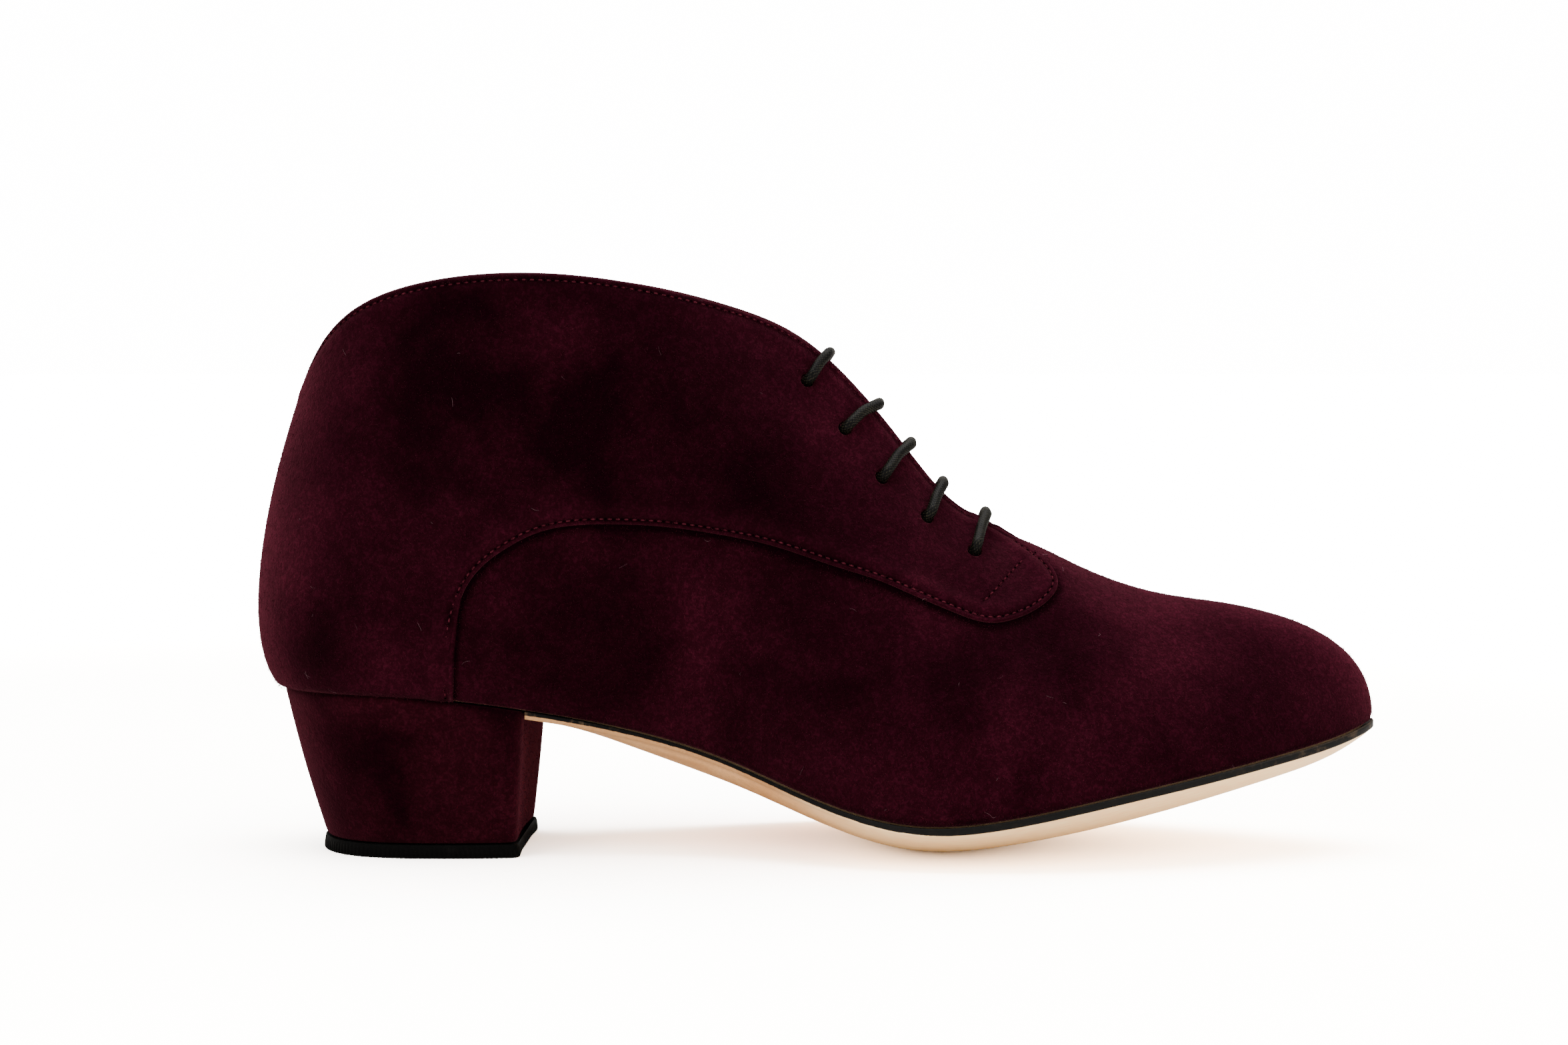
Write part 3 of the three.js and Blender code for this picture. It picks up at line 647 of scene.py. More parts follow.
# %% Leather materials
def leather(name, base, other, pore_scale=900.0, rough=0.55, bump=0.25):
    """Two tones in soft clouds, and a Voronoi grain for the pores."""
    material, wires, shader, place = new_material(name)
    clouds = wires.ramp(wires.noise(place, 40.0, 4.0, 0.55, 0.4), 0.3, 0.7)
    fine = wires.noise(place, pore_scale, 3.0, 0.6)
    cells = wires.node("ShaderNodeTexVoronoi", None, Vector=place, Scale=pore_scale * 0.6)
    tone = wires.plus(wires.times(clouds, 0.7), wires.times(fine, 0.3))
    height = wires.plus(wires.times(cells.outputs["Distance"], 0.6), wires.times(fine, 0.4))
    dress(wires, shader, wires.blend(tone, base, other), wires.plus(wires.times(fine, 0.2), rough - 0.1),
          height, bump, 0.0002, Specular_IOR_Level=0.35)
    return material


lining_leather = leather("lining_leather", linear(132, 104, 76), linear(156, 126, 94))
insole_leather = leather("insole_leather", linear(140, 112, 84), linear(164, 136, 104), 700.0, 0.5, 0.3)


PAINT_WAIST = 1.05         # depth of the black paint below the feather line, in mm
PAINT_TOE = 1.95
# Painted shade: between these depths the waist darkens towards its edge.
SIDE_SHADE = (2.6, 1.7)    # depths between which the waist darkens towards its edge, in mm
# Places along the sole in metres: where the leather turns cream, where the paint grows
# wider, and where it is rubbed at the toe and at the start.
CREAM_FROM = (0.080, 0.104)
PAINT_WIDENS = (0.07, 0.13)
TOE_RUBBED = (0.17, 0.215)
START_RUBBED = (0.046, 0.040)


def sole_material():
    """Tan and fibrous under the waist, cream and smooth from the ball on. The edge is painted
    black down to a depth below the feather line, which the piece keeps as its attribute, and
    painted shade darkens the waist's side below the paint."""
    material, wires, shader, place = new_material("sole_leather")
    axes = wires.node("ShaderNodeSeparateXYZ", None, Vector=place)
    wobble = wires.times(wires.minus(wires.noise(place, 60.0, 3.0), 0.5), 0.02)
    along = wires.plus(axes.outputs["X"], wobble)
    forward = wires.ramp(along, *CREAM_FROM)
    fibres = wires.node("ShaderNodeMapping", None, Vector=place, Scale=(160.0, 900.0, 900.0)).outputs[0]
    fibre = wires.noise(fibres, 1.0, 4.0, 0.65)
    clouds = wires.noise(place, 70.0, 4.0, 0.6, 0.4)
    fine = wires.noise(place, 1600.0, 3.0, 0.6)
    waist = wires.blend(wires.ramp(clouds, 0.3, 0.7), linear(206, 152, 100), linear(230, 180, 126))
    waist = wires.blend(wires.times(wires.ramp(fine, 0.4, 0.7), 0.5), waist, linear(176, 124, 80))
    cream = wires.blend(wires.ramp(fibre, 0.3, 0.75), linear(252, 208, 152), linear(255, 224, 172))
    drop = wires.wear()
    # Painted shade: the tan side of the waist below the paint darkens, fading out by 2.6 mm below the
    # feather line.
    side_shade = wires.times(wires.ramp(drop, *SIDE_SHADE), 0.7)
    waist = wires.blend(side_shade, waist, linear(136, 96, 62))
    bottom = wires.blend(forward, waist, cream)
    uneven = wires.times(wires.minus(wires.noise(place, 300.0, 4.0, 0.7), 0.5), 0.5)
    wide = wires.times(wires.ramp(axes.outputs["X"], *PAINT_WIDENS), PAINT_TOE - PAINT_WAIST)
    reach = wires.plus(wires.plus(wide, PAINT_WAIST), uneven)
    below = wires.minus(drop, reach)
    bare = wires.ramp(below, -0.06, 0.06)
    toward_toe = wires.ramp(axes.outputs["X"], *TOE_RUBBED)
    start_worn = wires.ramp(axes.outputs["X"], *START_RUBBED)
    rubbed = wires.ramp(wires.noise(place, 420.0, 4.0, 0.7), 0.5, 0.7)
    top_line = wires.ramp(drop, 0.62, 0.36)
    paler_by = wires.times(wires.times(toward_toe, top_line), 0.55)
    paler_by = wires.plus(paler_by, wires.times(rubbed, wires.plus(toward_toe, 0.08)), clamp=True)
    paler_by = wires.times(paler_by, 0.5)
    paler_by = wires.plus(paler_by, wires.times(wires.times(start_worn, rubbed), 0.8), clamp=True)
    paint = wires.blend(paler_by, linear(2, 2, 2), linear(70, 56, 42))
    rough = wires.minus(0.85, wires.times(forward, 0.35))
    height = wires.plus(wires.times(fine, wires.minus(1.15, forward)), wires.times(fibre, 0.25))
    dress(wires, shader, wires.blend(bare, paint, bottom), rough, height, 0.5, 0.0003,
          Specular_IOR_Level=0.1)
    return material


sole_leather = sole_material()


# %% Rubber, thread and cord materials
def rubber_material():
    material, wires, shader, place = new_material("tip_rubber")
    fine = wires.noise(place, 1200.0, 4.0, 0.7)
    dust = wires.times(wires.ramp(wires.noise(place, 260.0, 5.0, 0.7), 0.52, 0.75), 0.5)
    colour = wires.blend(dust, linear(2, 2, 2), linear(9, 8, 8))
    dress(wires, shader, colour, wires.plus(wires.times(fine, 0.3), 0.55), fine, 0.7, 0.0003,
          Specular_IOR_Level=0.04)
    return material


def fibre_material(name, dark, light, rough, gloss=0.1):
    material, wires, shader, place = new_material(name)
    strand = wires.noise(place, 2600.0, 3.0, 0.6)
    wide = wires.noise(place, 240.0, 3.0, 0.6)
    # For the lace, painted shade in the braid's hollows and painted highlight on its strands.
    painted_light_here = wires.wear()
    tone = wires.plus(wires.times(strand, 0.6), wires.times(wide, 0.4))
    tone = wires.plus(tone, wires.times(painted_light_here, 0.5))
    colour = wires.blend(wires.ramp(tone, 0.35, 0.65), dark, light)
    dress(wires, shader, colour, wires.plus(wires.times(strand, 0.2), rough - 0.1), strand, 0.4, 0.00015,
          Specular_IOR_Level=gloss)
    return material


tip_rubber = rubber_material()
seam_thread = fibre_material("seam_thread", linear(38, 9, 16), linear(70, 25, 35), 0.8, 0.0)
# Near-black stubs that stand in the needle holes between stitches: painted shade.
painted_hole_shade = fibre_material("painted_hole_shade", linear(3, 0, 1), linear(8, 1, 3), 0.9, 0.0)
lining_thread = fibre_material("lining_thread", linear(120, 94, 70), linear(150, 122, 94), 0.6)
lace_wax = fibre_material("lace_waxed_braid", linear(1, 1, 1), linear(36, 34, 25), 0.5, 0.06)
lint_fibre = fibre_material("lint_fibre", linear(54, 26, 34), linear(104, 80, 86), 0.8, 0.0)
print("materials:", len(bpy.data.materials))

# %% [markdown]
# ## The upper
#
# The real upper is cut flat, stitched, wetted and pulled over the last. Here it is the
# last's own surface, drawn finely, with a second surface inside it for the lining. Where
# fingers and the last have left the suede a little hollow or full, a soft relief moves
# the surface by up to half a millimetre. The hollows are listed by section and rise.

# %% Soft relief
ACROSS_MM, UP_MM = 17.0, 95.0       # mean length of one section and of the whole rise
# A hollow or fullness: section and rise at both ends, half width in mm, depth in mm.
CREASES = [
    {"start": (4.3, 0.40), "end": (8.2, 0.44), "width": 9.0, "depth": -0.5},
    {"start": (8.6, 0.46), "end": (10.6, 0.56), "width": 6.0, "depth": -0.35},
    {"start": (7.6, 0.20), "end": (9.4, 0.34), "width": 10.0, "depth": 0.45},
    {"start": (9.9, 0.30), "end": (10.6, 0.72), "width": 7.0, "depth": -0.3},
    {"start": (1.2, 0.30), "end": (2.3, 0.75), "width": 9.0, "depth": 0.35},
    {"start": (2.4, 0.66), "end": (4.4, 0.72), "width": 11.0, "depth": -0.45},
    {"start": (4.9, 0.78), "end": (6.6, 0.66), "width": 10.0, "depth": 0.4},
    {"start": (6.9, 0.62), "end": (8.6, 0.66), "width": 5.0, "depth": -0.3},
]


def relief(station, rise):
    """Sum of soft troughs and ridges: depth * exp(-(distance / width)^2), where distance is
    measured in mm from a line between two points of the surface."""
    station, rise = paired(station, rise)
    section = fold(station)
    total = np.zeros(section.shape)
    for crease in CREASES:
        a = np.array(crease["start"]) * (ACROSS_MM, UP_MM)
        b = np.array(crease["end"]) * (ACROSS_MM, UP_MM)
        x, y = section * ACROSS_MM - a[0], rise * UP_MM - a[1]
        line = b - a
        share = np.clip((x * line[0] + y * line[1]) / (line @ line), 0, 1)
        distance = np.hypot(x - share * line[0], y - share * line[1])
        total += crease["depth"] * bell(distance, 0, crease["width"])
    return total


def surface(station, rise, distance):
    """The worn skin: the last, its relief, and the distance of the layer."""
    station, rise = paired(station, rise)
    return skin(station, rise, relief(station, rise) + distance)


# %% The cut edge of a quarter
QUARTER_EDGE = np.array([
    (3.32, -0.03), (3.27, 0.14), (3.30, 0.29), (3.44, 0.386), (3.78, 0.455), (4.29, 0.502),
    (5.19, 0.519), (6.33, 0.514), (7.20, 0.515), (7.95, 0.544), (8.60, 0.566), (9.23, 0.569),
    (9.77, 0.614), (10.11, 0.70), (10.13, 0.80), (9.80, 0.92), (9.50, 1.00)])
LAYER_TOP = CLEARANCE + QUARTER_THICK
SEAM_COLUMNS = 230
SEAT_COLUMNS = 46
ROLL = (WALL + LAYER_TOP) / 2 + 0.05     # half thickness of the rolled top edge
ROLL_REACH = 0.9                         # how far down the roll begins
EDGE_MARGIN = 1.15                       # cut edge to its stitches
TOP_MARGIN = 1.5                         # collar edge to its stitches
TAB_ROW = np.array([(10.02, 0.835), (8.93, 0.585)])   # the short row across the tab

edge_fine = catmull(QUARTER_EDGE, 24)
edge_path = last(edge_fine[:, 0], edge_fine[:, 1])
seam_spots = np.linspace(0, 1, SEAM_COLUMNS)
seam = pick(edge_fine, even_lengths(edge_path, seam_spots))
seam[:, 1] = np.clip(seam[:, 1], 0, 1)
seat_part = np.stack([np.linspace(0, seam[0, 0], SEAT_COLUMNS, endpoint=False), np.zeros(SEAT_COLUMNS)], -1)
border = np.concatenate([seat_part, seam])
facing_end = seam[-1, 0]
seam_top = seam[0, 0] + (facing_end - seam[0, 0]) * seam_spots
top_border = np.concatenate([seat_part[:, 0], seam_top])
seam_length = path_length(edge_path)
print("cut edge %.0f mm long" % seam_length)


def line_on_last(track, inner):
    return last(side(track[:, 0], inner), np.clip(track[:, 1], 0, 1))


def border_lines(inner):
    """Dense lines on the last: the cut edge, the collar and throat, the heel seat, the tab row."""
    rim = np.stack([np.linspace(0, facing_end, 500), np.ones(500)], -1)
    seat = np.stack([np.linspace(0, seam[0, 0], 150), np.zeros(150)], -1)
    tab = np.linspace(TAB_ROW[0], TAB_ROW[1], 60)
    return [line_on_last(track, inner) for track in (edge_fine, rim, seat, tab)]


# %% Stations of the fine upper
UPPER_STEPS = 16           # per section
UPPER_LEVELS = 80
sections = np.arange(0, TOE + 1e-9, 1 / UPPER_STEPS)
throat_turn = np.radians(np.linspace(90, 0, 17))
round_end = THROAT - THROAT_ROUND * (1 - np.cos(throat_turn))
near_end = (sections > round_end[0] - 0.02) & (sections < THROAT + 0.02)
sections = np.sort(np.concatenate([sections[~near_end], round_end]))
stations = np.concatenate([sections, RING - sections[-2:0:-1]])
print("stations around the upper:", len(stations))


# %% Upper shell
def upper_mesh():
    """Outer and inner grids, joined along the feather edge and along the open top edge."""
    rises = np.linspace(0, 1, UPPER_LEVELS)
    count = len(stations)
    grid_k, grid_r = np.meshgrid(stations, rises, indexing="ij")
    height = path_length(last(grid_k, grid_r))
    is_open = fold(stations) < THROAT
    lowered = np.where(is_open, ROLL_REACH / height, 0.0)
    grid_r = grid_r * (1 - lowered[:, None])
    base = last(grid_k, grid_r)
    seam_away = np.minimum(nearest(base, border_lines(True)[0]), nearest(base, border_lines(False)[0]))
    foot_away = grid_r * height[:, None]
    sunk = -0.32 * bell(seam_away, 0, 1.4) - 0.3 * bell(foot_away, 0, 0.9)
    outer = surface(grid_k, grid_r, sunk)
    # Painted shade: darker within about a millimetre of the quarter's cut edge and of the feather line.
    wear = -0.6 * bell(seam_away, 0, 1.1) - 0.4 * bell(foot_away, 0, 1.2)
    inner = skin(grid_k, grid_r, -WALL * np.ones_like(grid_k))
    size = count * UPPER_LEVELS
    faces = [grid_faces(count, UPPER_LEVELS, wrap_rows=True)]
    faces.append(grid_faces(count, UPPER_LEVELS, start=size, wrap_rows=True)[:, ::-1])
    i = np.arange(count)
    i2 = (i + 1) % count
    low, low2 = i * UPPER_LEVELS, i2 * UPPER_LEVELS
    faces.append(np.stack([low, low + size, low2 + size, low2], -1))
    edge = is_open | is_open[i2]
    high, high2 = (low + UPPER_LEVELS - 1)[edge], (low2 + UPPER_LEVELS - 1)[edge]
    faces.append(np.stack([high, high2, high2 + size, high + size], -1))
    slots = np.concatenate([np.full(len(f), s) for f, s in zip(faces, (0, 1, 1, 2))])
    points = np.concatenate([outer.reshape(-1, 3), inner.reshape(-1, 3)])
    wear = np.concatenate([wear.reshape(-1), np.zeros(size)])
    return make_mesh("upper_shell", points, np.concatenate(faces), slots, wear=wear)


upper_materials = [suede_upper, lining_leather, suede_edge]
upper_piece = make_piece("upper_shell", upper_mesh(), upper_materials, ["upper"])

# %% [markdown]
# ## The quarters
#
# The quarters are a second layer of suede over the back and sides. Their lower edge runs
# up from the heel seat, forward along the arch and ends in a rounded tab on the vamp. The
# layer is a grid too, but its lower border is the cut edge itself, so the edge is crisp
# and its rows of stitches can follow it at a fixed distance. At the top the layer turns
# over the lining in a small roll.

# %% Layer of the quarters
PLAIN_LEVELS = 52
ROLL_STEPS = 12
# Rows of the layer near its cut edge, in mm from the edge, and near the collar, from the roll.
EDGE_ROWS = [0.62, 0.78, 0.95, 1.15, 1.35, 1.6, 2.0, 2.6, 3.4, 4.4]
COLLAR_ROWS = [4.0, 3.0, 2.2, 1.6, 1.2, 0.95, 0.75, 0.55, 0.35, 0.15, 0.0]


def bead_profile(radius=0.5, steps=7):
    """A quarter circle and a little more, as (distance from the edge, height over the last)."""
    turn = np.radians(np.linspace(-60, 90, steps))
    rows = np.stack([radius - radius * np.cos(turn), LAYER_TOP - radius + radius * np.sin(turn)], -1)
    rows[0] = (0.12, CLEARANCE)
    return rows


# Soft forms of the layer beside a line, in mm: the line (0 cut edge, 1 collar and throat, 2 heel
# seat, 3 tab row), the distance and width of the form, and how much it lifts the suede.
LAYER_LIFT = [(0, 3.1, 1.5, 0.34), (0, EDGE_MARGIN, 0.45, -0.24), (1, 3.3, 1.4, 0.2),
              (1, TOP_MARGIN, 0.45, -0.18), (3, 0, 0.6, -0.2), (2, 0, 0.9, -0.55)]
# The same for its painted light: painted shade in the stitch grooves, along the tab row and
# at the heel seat, painted highlight on the cut edge and the pillow, and paler along the collar edge.
LAYER_PAINTED_LIGHT = [(0, EDGE_MARGIN, 0.4, -0.34), (0, 0.4, 0.4, 0.2), (0, 3.0, 1.3, 0.12),
              (1, TOP_MARGIN, 0.5, -0.25), (1, 0, 0.7, 0.12), (3, 0, 0.6, -0.2), (2, 0, 1.0, -0.6)]


def beside(forms, away):
    """Sum of amount * exp(-((distance - centre) / width)^2) over the forms."""
    return sum(amount * bell(away[line], centre, width) for line, centre, width, amount in forms)


def quarter_points(inner):
    """Grid of one quarter, columns from the back seam to the throat, and its painted light."""
    low_k, low_r = border[:, :1], border[:, 1:]
    high_k, high_r = top_border[:, None], 1.0
    ride_up = np.linspace(0, 1, 60)[None, :]
    track = last(side(low_k + (high_k - low_k) * ride_up, inner), low_r + (high_r - low_r) * ride_up)
    lengths = np.maximum(path_length(track), 1e-3)[:, None]
    bead = bead_profile()
    low_rows = np.concatenate([bead[:, 0], EDGE_ROWS])[None, :]
    first = low_rows * np.clip(lengths * 0.4 / low_rows[0, -1], 0, 1) / lengths
    first_lift = np.concatenate([bead[:, 1], np.full(len(EDGE_ROWS), LAYER_TOP)])[None, :] + 0 * first
    roll_share = np.clip(ROLL_REACH / lengths, 0, 0.3)
    high_rows = np.array(COLLAR_ROWS)[None, :]
    near_top = 1 - roll_share - high_rows * np.clip(lengths * 0.2 / high_rows[0, 0], 0, 1) / lengths
    even = np.linspace(0, 1, PLAIN_LEVELS + 1)[None, 1:-1]
    plain = first[:, -1:] + (near_top[:, :1] - first[:, -1:]) * even
    front = np.concatenate([first, plain, near_top], axis=1)
    level_columns = plain.shape[1] + near_top.shape[1]
    front_lift = np.concatenate([first_lift, np.full((len(border), level_columns), LAYER_TOP)], axis=1)
    turn = np.radians(np.linspace(0, 180, ROLL_STEPS + 1))[None, 1:]
    rolled = 1 - roll_share + roll_share * np.sin(turn)
    rolled_lift = (LAYER_TOP - ROLL) + ROLL * np.cos(turn) + 0 * roll_share
    under = 1 - roll_share * np.array([[0.6, 0.6, 1.0]])
    under_lift = np.array([[-WALL + 0.3, 0.2, CLEARANCE]]) + 0 * roll_share
    back = (1 - roll_share) * np.linspace(1, 0, 10)[None, 1:-1]
    back_lift = np.full(back.shape, CLEARANCE)
    share = np.concatenate([front, rolled, under, back], axis=1)
    k, r = low_k + (high_k - low_k) * share, low_r + (high_r - low_r) * share
    base = last(side(k[:, :front.shape[1]], inner), r[:, :front.shape[1]])
    away = [nearest(base, line) for line in border_lines(inner)]
    front_lift = front_lift + beside(LAYER_LIFT, away)
    # Painted light of the layer: painted shade in the grooves and at the seat, painted highlight on the edge
    # and pillow.
    wear = beside(LAYER_PAINTED_LIGHT, away)
    lift = np.concatenate([front_lift, rolled_lift, under_lift, back_lift], axis=1)
    all_painted_light = np.zeros(lift.shape)
    all_painted_light[:, :wear.shape[1]] = wear
    return surface(side(k, inner), r, lift), all_painted_light, front.shape[1]


def quarter_mesh():
    inner, inner_painted_light, front_rows = quarter_points(True)
    outer, outer_painted_light, _ = quarter_points(False)
    points = np.concatenate([outer[::-1], inner[1:]], axis=0)
    wear = np.concatenate([outer_painted_light[::-1], inner_painted_light[1:]], axis=0)
    rows, columns = points.shape[:2]
    faces = grid_faces(rows, columns, wrap_columns=True)
    j = np.arange(len(faces)) % columns
    slots = np.where((j >= front_rows + 4) & (j <= front_rows + ROLL_STEPS), 1, 0)
    return make_mesh("quarter_layer", points, faces, slots, wear=wear)


quarter_materials = [suede_upper, suede_edge]
quarter_piece = make_piece("quarter_layer", quarter_mesh(), quarter_materials, ["quarters"])

# %% [markdown]
# ## Punched eyelets
#
# The lace passes through plain holes punched in both layers. A hole is a true boolean cut
# by a round pin along the surface's normal, so it is open and the lace can go through it.

# %% Punch the eyelets
EYELETS = [
    {"section": 6.99, "rise": 0.882, "crossing": 7.14},
    {"section": 7.45, "rise": 0.83, "crossing": 7.76},
    {"section": 7.89, "rise": 0.79, "crossing": 8.2},
    {"section": 8.49, "rise": 0.81, "crossing": 8.72},
    {"section": 9.17, "rise": 0.80, "crossing": 9.42},
]
PUNCH = 3.3                # visible diameter of a hole
PIN_SIDES = 24
PIN_REACH = 4.5            # how far a pin stands out on both sides


def pin_mesh():
    """Round pins: circle points around each eyelet's normal, at both ends."""
    turn = np.linspace(0, 2 * np.pi, PIN_SIDES + 1)[:-1]
    points, faces = [], []
    for eyelet in EYELETS:
        for inner in (True, False):
            station = side(eyelet["section"], inner)
            normal = side_normal(station, np.array(eyelet["rise"]))
            centre = last(station, eyelet["rise"])
            across = unit(np.cross(normal, [1.0, 0, 0]))
            other = np.cross(normal, across)
            circle = np.cos(turn)[:, None] * across + np.sin(turn)[:, None] * other
            start = sum(len(p) for p in points)
            ends = [centre + circle * PUNCH / 2 + normal * h for h in (-PIN_REACH, PIN_REACH)]
            points.append(np.concatenate(ends))
            i = start + np.arange(PIN_SIDES)
            i2 = np.roll(i, -1)
            faces += [(a, b, b + PIN_SIDES, a + PIN_SIDES) for a, b in zip(i, i2)]
            faces += [tuple(i[::-1]), tuple(i + PIN_SIDES)]
    mesh = bpy.data.meshes.new("pins")
    mesh.from_pydata((np.concatenate(points) * MM).tolist(), [], [tuple(map(int, f)) for f in faces])
    mesh.update()
    return mesh


pins = new_object("pins", pin_mesh())
for piece in (upper_piece, quarter_piece):
    cut = piece.modifiers.new("punch", "BOOLEAN")
    cut.operation = "DIFFERENCE"
    cut.solver = "EXACT"
    cut.object = pins
    bpy.context.view_layer.update()
    shaped = bpy.data.meshes.new_from_object(piece.evaluated_get(bpy.context.evaluated_depsgraph_get()))
    piece.modifiers.clear()
    piece.data = shaped
    print(piece.name, "punched,", len(shaped.polygons), "faces")
bpy.data.objects.remove(pins)

# %% [markdown]
# ## Stitches
#
# Each visible stitch is a short thread that dips into the suede at both ends. One stitch
# is a small grid, an ellipse swept along an arch, and numpy copies it to every place
# along a seam at once. All stitches of one colour are a single mesh.


# %% Stitch maker
def stitch_grid(length, thick):
    """A thread of one stitch: x along it, arch z = sin(pi * share), ends pulled in."""
    share = np.linspace(0, 1, 7)[:, None]
    turn = np.linspace(0, 2 * np.pi, 7)[None, :-1]
    radius = thick / 2 * np.clip(np.sin(np.pi * np.clip(share, 0.06, 0.94)) * 1.6, 0.2, 1)
    x = (share - 0.5) * length + 0 * turn
    y = radius * np.cos(turn)
    z = radius * np.sin(turn) * 0.8 + (np.sin(np.pi * share) - 0.72) * thick * 0.7
    return np.stack([x, y, z], -1)


def lay_stitches(centres, forward, normal, length, thick):
    """Turn the stitch into each place's own axes and return points and faces."""
    one = stitch_grid(length, thick)
    rows, columns = one.shape[:2]
    sideways = np.cross(normal, forward)
    axes = np.stack([forward, sideways, normal], 1)
    points = centres[:, None, None, :] + np.einsum("rca,nab->nrcb", one, axes)
    faces = grid_faces(rows, columns, wrap_columns=True)
    caps = np.array([[5, 4, 3, 2], [5, 2, 1, 0]])
    faces = np.concatenate([faces, caps, caps[:, ::-1] + (rows - 1) * columns])
    number = np.arange(len(centres))[:, None, None] * rows * columns
    return points.reshape(-1, 3), (faces[None] + number).reshape(-1, 4)


def stitch_row(track, height, spacing, length, thick, inner, surface_of=surface, shift=0.5):
    """Stitches along a track of (section, rise), evenly spaced in mm; with a shift of 0 they
    fall between the others, which is where the needle's holes are."""
    path = last(side(track[:, 0], inner), track[:, 1])
    total = path_length(path)
    count = max(int(total / spacing), 1)
    spots = (np.arange(count) + shift) / count
    ends = [pick(track, even_lengths(path, np.clip(spots + s / total, 0, 1))) for s in (-0.4, 0.4)]
    here = pick(track, even_lengths(path, spots))
    behind, ahead = (surface_of(side(e[:, 0], inner), e[:, 1], np.full(count, height)) for e in ends)
    centre = surface_of(side(here[:, 0], inner), here[:, 1], np.full(count, height))
    normal = side_normal(side(here[:, 0], inner), here[:, 1])
    forward = ahead - behind
    forward = unit(forward - normal * (forward * normal).sum(1, keepdims=True))
    return lay_stitches(centre, forward, normal, length, thick)


def moved_inside(track, distance, inner):
    """Shift a track of (section, rise) sideways by a distance in mm, on the surface."""
    step = 1e-3
    station, rise = side(track[:, 0], inner), np.clip(track[:, 1], 0.01, 0.985)
    flip = 1.0 if inner else -1.0
    du = flip * (last(station + step, rise) - last(station - step, rise)) / (2 * step)
    dv = (last(station, rise + step) - last(station, rise - step)) / (2 * step)
    path = last(station, track[:, 1])
    tangent = np.gradient(path, axis=0)
    normal = side_normal(station, rise) * flip
    aside = np.cross(normal, tangent)
    aside *= distance / np.linalg.norm(aside, axis=1, keepdims=True)
    basis = np.stack([du, dv, normal], -1)
    move = np.linalg.solve(basis, aside[..., None])[..., 0]
    return track + move[:, :2]


# %% Stitch the shoe
STITCH_PITCH = 1.8
STITCH_LENGTH = 1.25
# Length of the near-black stub of painted shade in each needle hole.
HOLE_SHADE_LENGTH = 0.5
THREAD = 0.4
SUNK = 0.16                # how far a stitch's middle lies below the face of the layer


def join_parts(name, parts, material):
    points, faces, start = [], [], 0
    for part_points, part_faces in parts:
        points.append(part_points)
        faces.append(part_faces + start)
        start += len(part_points)
    mesh = make_mesh(name, np.concatenate(points), np.concatenate(faces), weld=0.0005)
    return make_piece(name, mesh, [material])


def top_track(margin, end):
    k = np.linspace(0.0, end, 240)
    height = path_length(last(k[:, None], np.linspace(0, 1, 40)[None, :]))
    return np.stack([k, 1 - margin / height], -1)


thread_parts = []
hole_shade_parts = []
lining_parts = []
for inner in (True, False):
    edge_track = moved_inside(seam[3:-8], EDGE_MARGIN, inner)
    tab_track = np.linspace(TAB_ROW[0], TAB_ROW[1], 40)
    rim_track = top_track(TOP_MARGIN, 9.3)
    for track in (edge_track, tab_track, rim_track):
        height = LAYER_TOP - SUNK
        thread_parts.append(stitch_row(track, height, STITCH_PITCH, STITCH_LENGTH, THREAD, inner))
        # A short near-black stub of painted shade stands in each needle hole, between the stitches.
        hole_shade_parts.append(stitch_row(track, height, STITCH_PITCH, HOLE_SHADE_LENGTH, THREAD, inner, shift=0))
    inside_track = top_track(TOP_MARGIN + 0.6, 9.0)
    lining_row = stitch_row(inside_track, -WALL - 0.02, STITCH_PITCH, STITCH_LENGTH, THREAD, inner, skin)
    lining_parts.append(lining_row)
join_parts("seam_stitches", thread_parts, seam_thread)
join_parts("needle_hole_shade", hole_shade_parts, painted_hole_shade)
join_parts("lining_stitches", lining_parts, lining_thread)

# %% [markdown]
# ## The tongue
#
# The tongue lies under the facings and the lace, and its lower end is sewn under the vamp.
# It is the last's surface again, bridged across the throat and sunk far enough below the
# facings to leave room for the lace. Its top end is cut straight, and its side edges are thin.

# %% Tongue
TONGUE_LAP = 12.0
TONGUE_DEPTH = WALL + LACE_PLAY + LACE + LACE_PLAY
TONGUE_START, TONGUE_SUNK, TONGUE_END = 6.2, 9.5, 10.9


